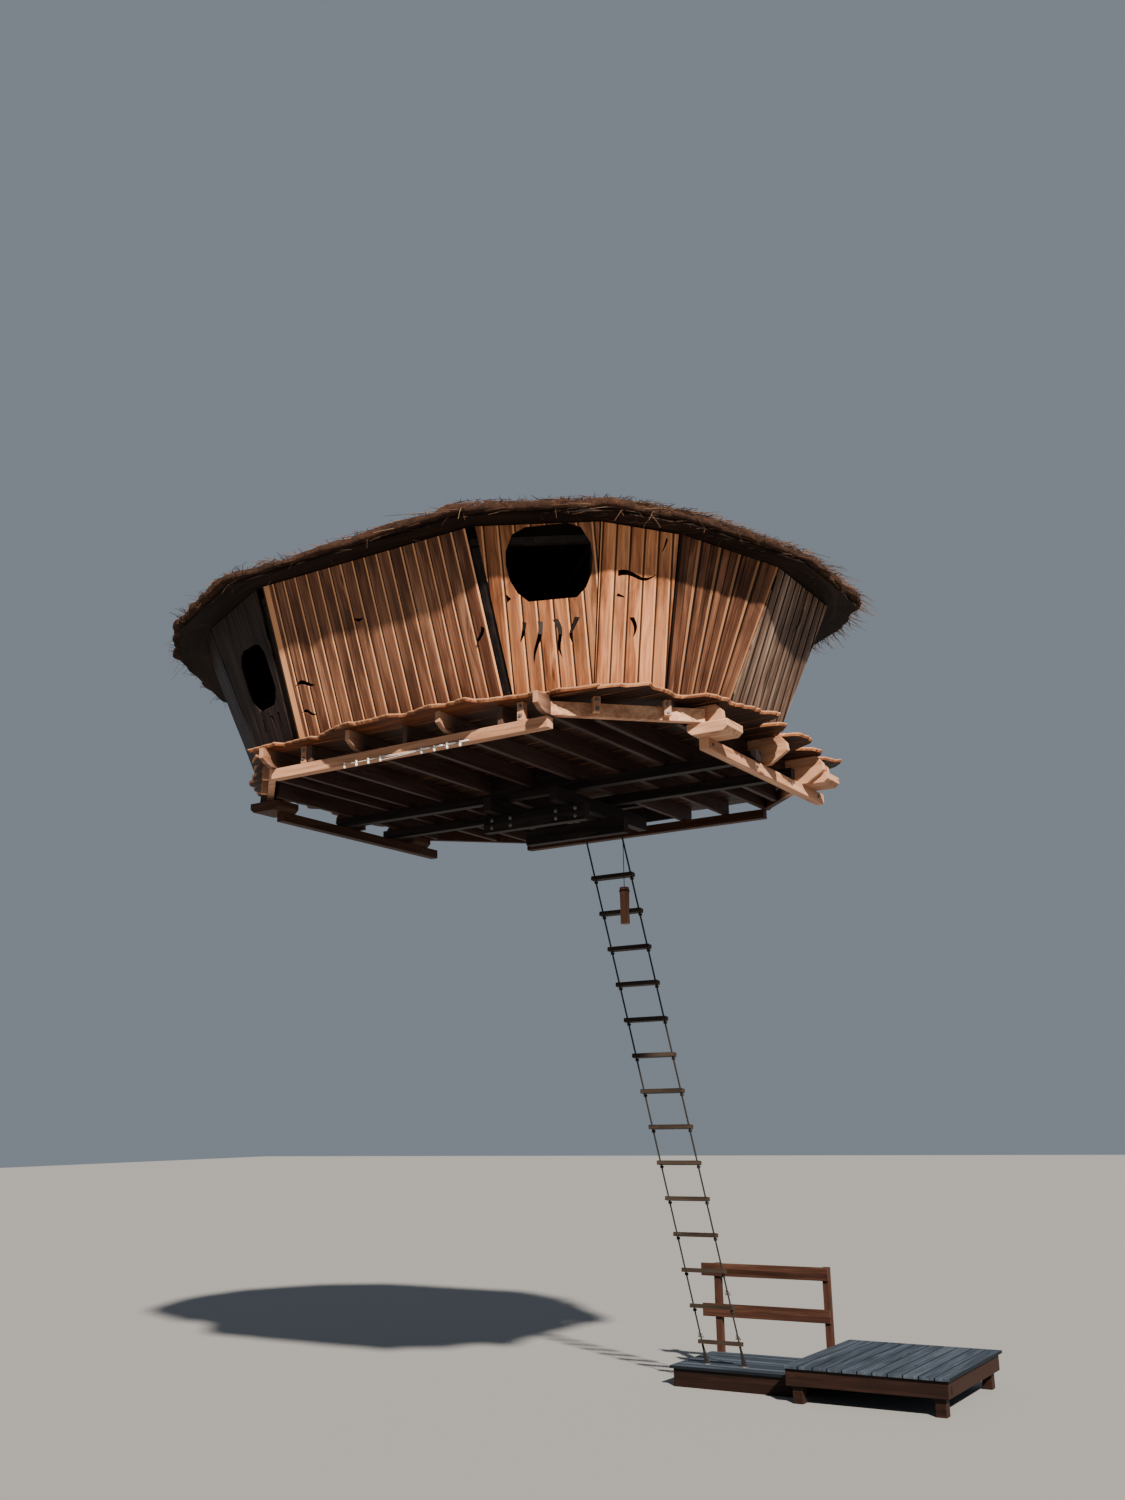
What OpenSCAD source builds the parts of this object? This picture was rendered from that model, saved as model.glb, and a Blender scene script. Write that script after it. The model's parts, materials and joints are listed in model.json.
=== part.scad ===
// Tree house: flared board cabin on an octagonal timber platform, clamped round a trunk,
// with a slanting rope ladder and its two-level landing deck.
// mm, Z up, X along the long front wall, Y towards the back. The origin is the middle of the
// face of clamp_front that bears on the trunk. The trunk itself is a plant and isn't part of this.

/* [Trunk and clamp] */
// radius of the trunk that the clamp beams hold
trunk_r = 315; // [220:5:420]
// thickness of the clamp beams and bearers
beam_t = 90; // [60:5:140]
// height of the two lower clamp beams
clamp_h = 150; // [100:5:240]
// length of the two lower clamp beams
clamp_len = 1100; // [900:10:1500]
// height of the cross beams that lie on the clamp beams
cross_h = 130; // [90:5:200]
// how far the cross beams stand out past the clamp: in front, behind at the left, behind at the right
cross_out = [215, 315, 635];

/* [Platform frame] */
// half length of the platform, left to right
plat_hx = 2285; // [2000:5:2600]
// front edge of the platform, from the trunk's axis
plat_front = 2268; // [2000:4:2600]
// back edge of the platform, from the trunk's axis
plat_back = 1820; // [1400:5:2200]
// how far the platform's middle lies left of the trunk
plat_off = 60; // [0:5:120]
// leg of each corner cut, along the front
corner_cut = 870; // [600:5:1000]
// height of the bearers and rim beams
rim_h = 90; // [70:5:120]
// thickness of the rim beams
rim_t = 85; // [60:5:110]
// height of the joists
joist_h = 150; // [120:5:200]
// thickness of the joists
joist_t = 46; // [38:1:60]
// how far the long joist ends stand out over the front rim
joist_out = 172; // [60:2:260]
// how far the outriggers stand out over the side rims
rigger_out = 216; // [120:2:240]
// height of the slanting corner rims
slant_h = 112; // [90:2:140]

/* [Deck] */
// thickness of the deck boards
deck_t = 28; // [20:1:40]
// pitch of the deck boards
deck_pitch = 212; // [150:2:260]
// how far the deck stands out over the rims
deck_out = 190; // [100:5:240]
// depth of the waves in the boards' natural edges
deck_wave = 16; // [0:1:30]
// gap between the deck and the trunk
trunk_gap = 85; // [40:5:140]
// width of the ladder hatch
hatch_w = 820; // [600:10:860]
// length of the ladder hatch
hatch_l = 600; // [450:10:700]

/* [Cabin walls] */
// from the platform's side in to the end of the long front wall
end_room = 1174; // [1050:2:1300]
// length of each end wall at the floor
end_side = 994; // [800:2:1200]
// width of the window walls at the floor
window_side = 670; // [640:5:720]
// width of the slit walls at the floor
slit_side = 565; // [480:5:640]
// width of the fanned corner walls at the floor
fan_side = 560; // [480:5:640]
// how far the three corner walls turn from the front wall, in degrees
corner_a = [20, 41, 52];
// how far the cabin's middle lies in front of the trunk
cabin_fwd = 670; // [600:5:800]
// how far the cabin's middle lies left of the trunk
cabin_off = 142; // [60:2:180]
// how far the front, slit and back walls lean out for each mm of height
lean = 0.415; // [0.3:0.005:0.5]
// how far the end walls lean out for each mm of height
end_lean = 0.39; // [0.3:0.005:0.5]
// how far the fanned walls' outer top corners draw back for each mm of height
fan_back = 0.13; // [0:0.01:0.2]
// height of the front and back walls
wall_hi = 1300; // [1100:10:1500]
// height of the end walls
wall_lo = 1120; // [1000:10:1300]
// thickness of the wall boards
wall_t = 22; // [16:1:30]
// widest pitch of the wall boards
board_w = 125; // [90:1:160]
// depth of the joints between wall boards
groove = 7; // [3:0.5:9]
// width of the sloping flank on each board's right edge
flank = 21; // [10:1:30]
// open seam at the front corners beside the window wall
seam = 90; // [20:2:110]
// open seam at all other corners
seam_s = 14; // [6:1:30]
// section of the corner studs
stud = 46; // [36:1:60]
// height of the top plates
plate_h = 50; // [40:1:70]

/* [Openings] */
// width of the right window hole
win_w = 685; // [560:5:700]
// height of the right window hole
win_h = 570; // [480:5:600]
// height of the right window sill above the floor, up the wall
win_z = 770; // [700:5:800]
// how far the right window lies right of its wall's middle
win_x = 84; // [40:2:100]
// width of the left window hole
left_win_w = 470; // [400:5:560]
// height of the left window hole
left_win_h = 560; // [450:5:620]
// height of the left window sill above the floor, up the wall
left_win_z = 420; // [380:5:460]
// width of the doorway in the back wall
door_w = 700; // [600:10:800]
// height of the doorway, up the wall
door_h = 1150; // [1000:10:1190]
// distance of the doorway from the back wall's right end, at the floor
door_in = 70; // [50:5:150]

/* [Roof] */
// overhang of the roof beyond the wall tops
eave = 262; // [150:5:400]
// rise of the roof from the front wall top to the trunk ring
roof_rise = 400; // [250:10:560]
// thickness of the roof boards
roof_t = 22; // [15:1:30]
// thickness of the brush layer
thatch_t = 100; // [60:5:140]
// inner radius of the roof ring round the trunk
ring_r = 385; // [350:5:460]
// thickness of the roof ring
ring_t = 60; // [40:2:90]
// height of the roof ring
ring_h = 130; // [110:5:200]
// depth of the rafters
rafter_h = 90; // [70:2:120]
// thickness of the rafters
rafter_t = 45; // [38:1:60]

/* [Ladder] */
// height of the low landing deck's top below the front rim
fall = 5265; // [4400:5:5600]
// distance between the two ladder ropes
rope_gap = 412; // [350:2:450]
// length of each rung
rung_l = 470; // [440:2:520]
// number of rungs
rungs = 14; // [10:1:15]
// lowest rung above the ladder's foot, along the ladder
foot_gap = 230; // [150:5:300]
// spacing of the rungs, along the ladder
rung_pitch = 366; // [300:2:400]
// radius of each ladder rope
rope_r = 9; // [7:0.5:14]
// distance from the trunk's axis back to the ladder's top
ladder_y = 905; // [880:5:980]
// distance from the trunk's axis back to the ladder's foot
foot_y = 2665; // [2500:5:2800]
// distance from the trunk's axis right to the ladder's foot
foot_x = 217; // [100:1:300]
// distance from the trunk's axis left to the ladder's top
top_x = 70; // [0:5:120]

/* [Landing deck] */
// length of the low deck
low_l = 1370; // [1200:10:1500]
// depth of the low deck
low_d = 960; // [800:10:1100]
// length of the high deck
high_l = 1570; // [1300:10:1800]
// depth of the high deck
high_d = 1715; // [1400:5:1900]
// step up from the low to the high deck
step_h = 140; // [100:5:180]
// height of the low deck's frame boards
frame_h = 170; // [120:5:220]
// height of the rail above the low deck
rail_h = 880; // [800:5:1000]
// height of the rail boards
rail_b = 130; // [100:2:150]

/* [Small pieces] */
// diameter of the hanging log
log_d = 95; // [70:1:120]
// length of the hanging log
log_l = 350; // [250:5:420]
// length of the cord that the log hangs on
log_drop = 620; // [400:10:700]
// pegs on the string under the front rim
pegs = 8; // [4:2:8]
// distance between pegs
peg_pitch = 127; // [90:1:130]
// distance from the first peg of the left group to that of the right group
peg_gap = 805; // [600:5:850]

/* [Hidden] */
$fn = 24;

wood = [0.72, 0.47, 0.29];
fresh = [0.83, 0.62, 0.42];
dark = [0.33, 0.22, 0.15];
brush = [0.25, 0.16, 0.11];
rope = [0.16, 0.14, 0.12];
steel = [0.55, 0.56, 0.58];
grey = [0.50, 0.52, 0.56];

// ---- levels, up from the underside of the front rim (level 0), trunk axis at x = y = 0
z_clamp = -cross_h - clamp_h;      // underside of the lower clamp beams
z_joist = rim_h;                   // underside of the joists
z_deck = rim_h + joist_h;          // underside of the deck boards
z_floor = z_deck + deck_t;         // top of the deck boards
z_low = -fall;                     // top of the low landing deck
z_high = -fall + step_h;           // top of the high landing deck
z_ground = -fall - deck_t - frame_h;
hair = 0.3;                         // clearance between pieces that only touch

// everything below is written with the trunk's axis at x = y = 0 and moved here by one shift
module at_mount() translate([0, trunk_r, -z_clamp - clamp_h / 2]) children();

module box(x0, x1, y0, y1, z0, z1)
  translate([x0, y0, z0]) cube([x1 - x0, y1 - y0, z1 - z0]);

// ---- platform outline
px = -plat_off;
rim_end = plat_hx - corner_cut;    // half length of the front and back rims
foot_s = 58;                       // section of the studs' feet
foot_in = 140;                     // the front feet stand right of the front wall's corners
long_side = 2 * (plat_hx - end_room);  // length of the long front wall at the floor

// ---- cabin plan: sixteen walls, from the front wall's right end anticlockwise
function unit(a) = [cos(a), sin(a)];
cq1 = [long_side / 2, 0];
cq2 = cq1 + window_side * unit(corner_a[0]);
cq3 = cq2 + slit_side * unit(corner_a[1]);
cq4 = cq3 + fan_side * unit(corner_a[2]);
half_y = cq4[1] + end_side / 2;
cab = [-cabin_off, -cabin_fwd];
quarter = [for (q = [cq1, cq2, cq3, cq4]) [q[0], q[1] - half_y]];
plan = concat(
  [for (i = [0:3]) cab + quarter[i]],
  [for (i = [3:-1:0]) cab + [quarter[i][0], -quarter[i][1]]],
  [for (i = [0:3]) cab - quarter[i]],
  [for (i = [3:-1:0]) cab + [-quarter[i][0], quarter[i][1]]]);
n = len(plan);
function W(i) = plan[(i + n) % n];
function edge(i) = let (e = W(i + 1) - W(i)) e / norm(e);        // along wall i
function out(i) = [edge(i)[1], -edge(i)[0]];                     // outward, wall i
function mitre(i) = let (b = out(i - 1) + out(i)) b / (b * out(i)); // corner i
function turn(i) = acos(min(1, out(i - 1) * out(i)));            // plan angle at corner i
// wall tops are high along front and back and lower round the ends
function htop(i) = let (r = abs(W(i)[0] - cab[0]), r0 = long_side / 2, r1 = cq4[0])
  wall_hi - (wall_hi - wall_lo) * pow(max(0, (r - r0) / (r1 - r0)), 1.4);
// how far wall i leans out for each mm of height: the window walls (i = 0, 6, 8, 14) lean so much
// less that the walls beside them keep their width up to the roof, and the window walls fan out
function lw(i) = let (j = (i + n) % n) j % 8 == 0 || j % 8 == 6 ? lean * cos(corner_a[0])
  : j % 8 == 3 ? end_lean : lean;
// plan direction in which corner i moves for each mm of height: along both of its walls, but for the
// outer corners of the two fanned walls (i = 3 and 12), which draw back
function lead(i) = let (j = (i + n) % n, a = out(i - 1), b = out(i), k = a[0] * b[1] - a[1] * b[0])
  j == 3 ? [end_lean, fan_back] : j == 12 ? [-end_lean, fan_back]
  : [lw(i - 1) * b[1] - lw(i) * a[1], a[0] * lw(i) - b[0] * lw(i - 1)] / k;
function corner(i, d, h) = let (q = W(i) + lead(i) * h + mitre(i) * d) [q[0], q[1], z_floor + h];
function seam_at(i) = (i % n == 0 || i % n == 15) ? seam : seam_s;
function cw(i) = 1 / sqrt(1 + lw(i) * lw(i));   // cosine of wall i's lean
ca = 1 / sqrt(1 + lean * lean);
wt = wall_t / ca;                  // thickness of the boards, measured level
top_gap = wall_t * lean * ca + 1;  // the walls' square top edges stop under the roof boards
// how far wall i's boards keep from corner k, so that their inner faces clear each other
function keep(k) = max(seam_at(k) / 2, wt * tan(turn(k) / 2) + hair + 1);

// wall i as an outline in its own plane: u along, v up the slope
function wall_uv(i) =
  let (w = norm(W(i + 1) - W(i)) / 2, ha = htop(i) - top_gap, hb = htop(i + 1) - top_gap)
  [[-w + keep(i), -lean * wall_t - 2], [w - keep(i + 1), -lean * wall_t - 2],
   [w - keep(i + 1) + lead(i + 1) * edge(i) * hb, hb / cw(i)], [-w + keep(i) + lead(i) * edge(i) * ha, ha / cw(i)]];
// number of boards of wall i and their pitch
function boards(i) = ceil((norm(W(i + 1) - W(i)) - keep(i) - keep(i + 1)) / board_w - 0.15);
function pitch(i) = (norm(W(i + 1) - W(i)) - keep(i) - keep(i + 1)) / boards(i);

// puts wall i's own plane in place, its outer face outward, material inward
module on_wall(i) {
  m = (W(i) + W(i + 1)) / 2; e = edge(i); o = out(i);
  multmatrix([[e[0], o[0] * lw(i) * cw(i), o[0] * cw(i), m[0]],
              [e[1], o[1] * lw(i) * cw(i), o[1] * cw(i), m[1]],
              [0, cw(i), -lw(i) * cw(i), z_floor],
              [0, 0, 0, 1]])
    children();
}
// section of a joint: a long flank on the left board, a steep edge on the right one
module joint_2d() polygon([[-flank * (1 + 1 / groove), -1], [0, groove], [2, groove], [3.5, -1]]);

// boards of wall i: a plain sheet with a joint after each board, less what is cut out
module wall(i) {
  w = norm(W(i + 1) - W(i)) / 2;
  on_wall(i) difference() {
    translate([0, 0, -wall_t]) linear_extrude(wall_t) difference() {
      polygon(wall_uv(i));
      children();
      if (i == door_wall) door_2d();
    }
    for (k = [-3:boards(i) + 2]) translate([-w + keep(i) + k * pitch(i), -10, 0]) rotate([-90, 0, 0])
      if (k != 0 || lead(i) * edge(i) < -0.01) linear_extrude(1600) joint_2d();
    // the foot is cut level so that it stands on the floor
    multmatrix([[1, 0, 0, 0], [0, 1, lw(i), 0], [0, 0, 1, 0], [0, 0, 0, 1]])
      translate([-long_side, -100, -wall_t - 10]) cube([2 * long_side, 100, wall_t + 20]);
  }
}
door_wall = 7;
module door_2d() {
  translate([-long_side / 2 + door_in, 60]) square([door_w, door_h - 60]);
}

// boards of a fanned wall: each stands on its share of the floor line and leans to its share of the top
// line, so the wall turns as it rises. Point at height h, share f across, depth d in from the face.
function fan_at(i, f, d, h) =
  let (a = W(i) + lead(i) * h, b = W(i + 1) + lead(i + 1) * h, t = (b - a) / norm(b - a),
       q = a + t * keep(i) + (b - a - t * (keep(i) + keep(i + 1))) * f + d * [-t[1], t[0]])
  [q[0], q[1], z_floor + h];
function fan_h(i, f) = htop(i) + (htop(i + 1) - htop(i)) * f - 4;
module fan(i) {
  m = boards(i) + 1; steps = 4;
  for (k = [0:m - 1]) {
    f0 = k / m + hair / fan_side; f1 = (k + 1) / m - hair / fan_side; fc = f1 - flank / fan_side;
    // a five-sided section, carried up the board in steps
    p = [for (j = [0:steps]) let (h0 = fan_h(i, f0) * j / steps, h1 = fan_h(i, f1) * j / steps)
      each [fan_at(i, f0, 0, h0), fan_at(i, fc, 0, h1), fan_at(i, f1, groove, h1), fan_at(i, f1, wt, h1),
            fan_at(i, f0, wt, h0)]];
    t = 5 * steps;
    // the two faces of a joint are split along the same diagonal, and so are the flanks beside them
    polyhedron(p, concat([[0, 1, 4], [1, 2, 3], [1, 3, 4], [t, t + 4, t + 1], [t + 1, t + 3, t + 2],
      [t + 1, t + 4, t + 3]],
      [for (j = [0:steps - 1], q = [0:4], s = [0, 1]) let (a = 5 * j + q, b = 5 * j + (q + 1) % 5)
        (q == 2) != (i == 12) ? (s == 0 ? [a, a + 5, b] : [a + 5, b + 5, b])
        : (s == 0 ? [a, b + 5, b] : [a, a + 5, b + 5])]));
  }
}

// a window hole with a flat sill and rounded shoulders, x from the wall's middle
module window_2d(x, z, w, h) {
  k = w * 0.26;
  half = [[w * 0.28, 0], [w / 2 - k * 0.4, k * 0.4], [w / 2 - k * 0.12, k * 0.95], [w / 2, k * 1.65],
    [w / 2 - k * 0.04, h - k * 0.95], [w / 2 - k * 0.4, h - k * 0.25], [w / 2 - k, h]];
  translate([x, z]) polygon(concat(half, [for (j = [6:-1:0]) [-half[j][0], half[j][1]]]));
}
// a slit sawn freehand from point a to its tip b: w wide at a, bowed and waved to the right of a-b;
// one with two tips is widest in its middle
module slit_2d(a, b, w, bow = 0, wave = 0, tips = 1) {
  m = 8; d = b - a; r = [-d[1], d[0]] / norm(d);
  function mid(t) = a + d * t + r * (bow * sin(180 * t) + wave * sin(360 * t));
  function half(t) = w / 2 * (tips == 1 ? pow(1 - t, 0.6) : sin(180 * t)) + 0.6;
  polygon(concat([for (j = [0:m]) mid(j / m) - r * half(j / m)],
                 [for (j = [m:-1:0]) mid(j / m) + r * half(j / m)]));
}

// ---- clamp and frame
module clamp_front() color(dark) at_mount()
  box(-clamp_len / 2, clamp_len / 2, -trunk_r - beam_t, -trunk_r, z_clamp, z_clamp + clamp_h);
module clamp_back() color(dark) at_mount()
  box(-clamp_len / 2, clamp_len / 2, trunk_r, trunk_r + beam_t, z_clamp, z_clamp + clamp_h);
module cross_beams() color(dark) at_mount() for (s = [-1, 1])
  translate([s * (trunk_r + beam_t / 2), 0, 0])
    box(-beam_t / 2, beam_t / 2, -trunk_r - beam_t - cross_out[0], trunk_r + beam_t + cross_out[s > 0 ? 2 : 1],
      -cross_h, 0);
module bearer(y0) color(dark) at_mount()
  box(px - plat_hx - 20, px + plat_hx + 20, y0, y0 + beam_t, 0, rim_h);
module bearer_front() bearer(-trunk_r - beam_t);
module bearer_back() bearer(trunk_r + 15);

module rim_front() color(fresh) at_mount()
  box(px - rim_end, px + rim_end, -plat_front, -plat_front + rim_t, 0, rim_h);
module rim_back() color(fresh) at_mount()
  box(px - rim_end, px + rim_end, plat_back - rim_t, plat_back, 0, rim_h);
rim_y0 = -plat_front + corner_cut + 120;
rim_y1 = plat_back - corner_cut + 190;
module side_rim(s) color(fresh) at_mount() translate([px + s * (plat_hx - rim_t / 2), 0, 0])
  box(-rim_t / 2, rim_t / 2, rim_y0, rim_y1, -rim_h, 0);
module rim_left() side_rim(-1);
module rim_right() side_rim(1);

// slanting rims join the front and back rims to the corner blocks, one board higher
slant_t = 60;
module slant(sx, sy) {
  y0 = sy < 0 ? -plat_front : plat_back;
  x0 = sx < 0 ? -long_x[0] + joist_t / 2 + hair : long_x[3] + joist_t / 2 + hair;
  difference() {
    translate([px + sx * rim_end, y0, 0]) scale([sx, -sy, 1]) translate([10, -10, 0]) rotate(45)
      box(-60, (corner_cut + 20) * sqrt(2), 0, slant_t, z_joist, z_joist + slant_h);
    // its inner end is cut along the side of the joist there
    scale([sx, 1, 1]) box(0, x0, -3000, 3000, z_joist - 1, z_joist + slant_h + 1);
  }
}
module slant_rims() color(fresh) at_mount() for (sx = [-1, 1], sy = [-1, 1]) slant(sx, sy);

// blocks that carry the slanting rims' outer ends on the side rims, lower corners cut
module corner_blocks() color(fresh) at_mount() for (sx = [-1, 1], sy = [-1, 1]) {
  y = sy < 0 ? -plat_front + corner_cut - 10 : plat_back - corner_cut - 280;
  translate([px + sx * (plat_hx + 50), y + 290, 0]) rotate([90, 0, 0]) linear_extrude(290)
    polygon([[-175, rim_h], [-175, 34], [-135, 0], [135, 0], [175, 34], [175, rim_h]]);
}

// ---- joists: x of each, front end, back end
long_xa = px - rim_end + 35;
long_xb = px + rim_end + 5;
long_x = [for (f = [0, 0.343, 0.673, 1]) long_xa + f * (long_xb - long_xa)];
outer_x = plat_hx - 175;           // outermost joists, from the platform's middle
beside_foot = long_side / 2 + cabin_off - plat_off - foot_in - foot_s / 2 - joist_t / 2 - 20;
short_x = [for (s = [-1, 1], d = [outer_x, rim_end + 235, beside_foot]) px + s * d];
function cut_y(x, s) = s < 0
  ? -plat_front + max(0, abs(x - px) - rim_end) + (abs(x - px) > rim_end ? slant_t * 1.42 + 25 : 0)
  : plat_back - max(0, abs(x - px) - rim_end) - (abs(x - px) > rim_end ? slant_t * 1.42 + 25 : 0);
// a joist on edge, with the lower corner of each outstanding end cut away
module joist(x, y0, y1, c0 = 0, c1 = 0)
  translate([x + joist_t / 2, 0, z_joist]) rotate([0, -90, 0]) linear_extrude(joist_t)
    polygon(c0 > 0
      ? [[0, y0 + c0], [c0 * 0.18, y0 + c0 * 0.55], [c0 * 0.55, y0], [joist_h, y0],
         [joist_h, y1], [c1 * 0.55, y1], [0, y1 - c1]]
      : [[0, y0], [joist_h, y0], [joist_h, y1], [c1 * 0.55, y1], [0, y1 - c1]]);
module joists() color(dark) at_mount() {
  for (x = long_x) joist(x, -plat_front - joist_out, plat_back + joist_out * 0.6, 110, 90);
  for (x = short_x) joist(x, cut_y(x, -1), cut_y(x, 1));
  joist((long_x[1] + long_x[2]) / 2, -plat_front, -trunk_r - beam_t);
}
rig_y = [-176, 640];
// planks on edge that stand on the side rims, with six-sided ends
module rigger(s, y, z0, x1, c0, c1, zt) {
  x0 = s * px + outer_x + joist_t / 2;
  scale([s, 1, 1]) translate([0, y + joist_t / 2, 0]) rotate([90, 0, 0]) linear_extrude(joist_t)
    polygon([[x0, z0], [x1 - c0, z0], [x1, zt], [x1 - c1 * 0.12, z_deck - c1], [x1 - c1, z_deck], [x0, z_deck]]);
}
module outriggers() color(fresh) at_mount() for (s = [-1, 1]) {
  x1 = s * px + plat_hx + rigger_out;
  clear = corner_cut + 10 + slant_t / sqrt(2) + joist_t / 2 + 1;   // just past the slanting rim's end
  for (y = rig_y) rigger(s, y, 0, x1, 170, 70, 105);
  for (y = [-plat_front + clear, plat_back - clear]) rigger(s, y, rim_h, x1 - 50, 0.1, 60, rim_h + 20);
}

hatch_x = -18;
hatch_y0 = ladder_y + 60;
hatch_y1 = hatch_y0 + hatch_l;
module hatch_frame() color(dark) at_mount() {
  x0 = long_x[1] + joist_t / 2; x1 = long_x[2] - joist_t / 2;
  box(x0, x1, hatch_y1, hatch_y1 + joist_t, z_joist, z_deck);
  box(x0, x1, -trunk_r - beam_t, -trunk_r - beam_t + joist_t, z_joist, z_deck);
}

// ---- deck: boards along X with natural edges and uneven ends
function deck_half(y, s) =                     // outline of the deck, from the platform's middle
  let (yy = y < -225 ? (y + plat_front) : (plat_back - y))
  min(plat_hx + deck_out + (s > 0 ? 60 : 130), rim_end + deck_out * 0.9 + max(0, yy) * 1.05);
function ragged(k, s) = 46 * sin(k * 137 + s * 61) + 26 * sin(k * 71 + s * 23);
y_first = -plat_front - deck_out;
rows = ceil((plat_back + deck_out * 0.7 - y_first) / deck_pitch);
function seam_y(k, x) = y_first + k * deck_pitch
  + deck_wave * (sin(x * 0.21 + k * 83) + 0.55 * sin(x * 0.53 + k * 41));
module deck_board(k) {
  ym = y_first + (k + 0.5) * deck_pitch;
  xl = px - deck_half(ym, -1) - ragged(k, 2);
  xr = px + deck_half(ym, 1) + ragged(k, 5);
  m = 22;
  xs = [for (j = [0:m]) xl + (xr - xl) * j / m];
  translate([0, 0, z_deck]) linear_extrude(deck_t) polygon(concat(
    [for (x = xs) [x, seam_y(k, x) + 3]],
    [[xr + 34 + 20 * sin(k * 97), ym + 30 * sin(k * 53)]],
    [for (j = [m:-1:0]) [xs[j], seam_y(k + 1, xs[j]) - 3]],
    [[xl - 34 - 20 * sin(k * 59), ym + 30 * sin(k * 31)]]));
}
module deck(k0, k1) color(wood) at_mount() difference() {
  for (k = [k0:k1]) deck_board(k);
  translate([0, 0, z_deck - 10]) cylinder(r = trunk_r + trunk_gap, h = deck_t + 20);
  box(hatch_x - hatch_w / 2, hatch_x + hatch_w / 2, hatch_y0, hatch_y1, z_deck - 10, z_floor + 10);
}
split = floor((-120 - y_first) / deck_pitch);
module deck_front() deck(0, split);
module deck_back() deck(split + 1, rows - 1);

// ---- feet of the studs, bolted to the rims under the deck's edge
module stud_feet() color(wood) at_mount() {
  for (i = [0, 15]) translate([W(i)[0] + foot_in, -plat_front + foot_s / 2, rim_h])
    translate([-foot_s / 2, -foot_s / 2, 0]) cube([foot_s, foot_s, joist_h]);
  for (i = [1, 2, 13, 14]) {
    s = i < 8 ? 1 : -1;
    // along the slanting rim, measured from its end at the front rim
    a = (abs(W(i)[0] - px) - rim_end + W(i)[1] + plat_front) / sqrt(2);
    translate([px + s * rim_end, -plat_front, 0]) scale([s, 1, 1]) translate([10, -10, 0]) rotate(45)
      box(max(a, 40) - foot_s / 2, max(a, 40) + foot_s / 2, -foot_s, 0, z_joist + 25, z_deck);
  }
}

// ---- walls
module front_wall() color(wood) at_mount() wall(15) {
  e = long_side / 2;
  slit_2d([918 - e, 949], [1026 - e, 930], 26, -20, tips = 2);
  slit_2d([e - 83, 624], [e - 188, 461], 38, -4, 9);
  slit_2d([138 - e, 500], [365 - e, 484], 40, 30, 14, tips = 2);
  slit_2d([148 - e, 276], [300 - e, 240], 34, 12, 12, tips = 2);
}
module window_wall() color(wood) at_mount() wall(0) {
  window_2d(win_x, win_z, win_w, win_h);
  slit_2d([-154, win_z - 153], [-203, win_z - 309], 36, 8);
  slit_2d([-29, win_z - 158], [-109, win_z - 486], 42, 4, 10);
  slit_2d([90, win_z - 153], [123, win_z - 457], 45, 6, 17);
  slit_2d([264, win_z - 150], [220, win_z - 369], 39, -34, 8);
  polygon([[-278, win_z + 74], [-240, win_z + 35], [-276, win_z + 6]]);
}
module slit_wall() color(wood) at_mount() wall(1) {
  slit_2d([-137, 950], [166, 956], 44, -24, 24); slit_2d([-137, 788], [-74, 771], 24);
  slit_2d([-13, 619], [4, 462], 37, 24); slit_2d([232, 1230], [196, 1120], 16, 4);
}
module corner_wall() color(wood) at_mount() fan(2);
module right_end_wall() color(wood) at_mount() wall(3)
  slit_2d([222, 1110], [186, 804], 30, 66, tips = 2);
module right_back_walls() color(wood) at_mount() for (i = [4, 5, 6]) wall(i);
module back_wall() color(wood) at_mount() { wall(7); }
module left_back_walls() color(wood) at_mount() for (i = [8, 9, 10]) wall(i);
module left_end_wall() color(wood) at_mount() wall(11);
module left_corner_walls() color(wood) at_mount() { fan(12); wall(13); }
module left_window_wall() color(wood) at_mount() wall(14) {
  window_2d(62, left_win_z, left_win_w, left_win_h);
  slit_2d([-78, left_win_z - 78], [-108, left_win_z - 205], 30, 6);
  slit_2d([74, left_win_z - 74], [112, left_win_z - 196], 32, 4, 8);
  slit_2d([208, left_win_z - 72], [218, left_win_z - 220], 34, -12, 8);
}

// how far under the wall's top edge a top plate lies, so that the rafters rest on the plates
function slope(i) = abs(htop(i + 1) - htop(i)) / norm(W(i + 1) - W(i));
function drop(i) = z_floor + htop(i) - rafter_end(i)[2] + rafter_h + hair
  + 3.8 * stud * lean * max(slope(i), slope(i - 1));
// direction of wall i's top edge in plan; only a fanned wall's differs from its foot's
function te(i) = let (d = T(i + 1) - T(i)) [d[0], d[1]] / norm([d[0], d[1]]);
function to(i) = [te(i)[1], -te(i)[0]];
function mitre_of(a, b) = (a + b) / ((a + b) * b);
// the inner one of the two directions at wall i's first corner and, side = -1, at its last
function inner(i, side) = side * (edge(i)[0] * te(i)[1] - edge(i)[1] * te(i)[0]) > 0 ? te(i) : edge(i);
module corner_studs() color(wood) at_mount() for (i = [0:n - 1]) {
  e0 = inner(i - 1, -1); e1 = inner(i, 1);
  m = mitre_of([e0[1], -e0[0]], [e1[1], -e1[0]]);
  h = htop(i) - drop(i) - plate_h - 14;
  q = W(i) - m * (wt + hair);
  multmatrix([[1, 0, lead(i)[0], q[0]], [0, 1, lead(i)[1], q[1]], [0, 0, 1, z_floor], [0, 0, 0, 1]])
    linear_extrude(h) polygon([-e0 * 70, [0, 0], e1 * 70, e1 * 60 - m * stud, -e0 * 60 - m * stud]);
}

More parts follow.
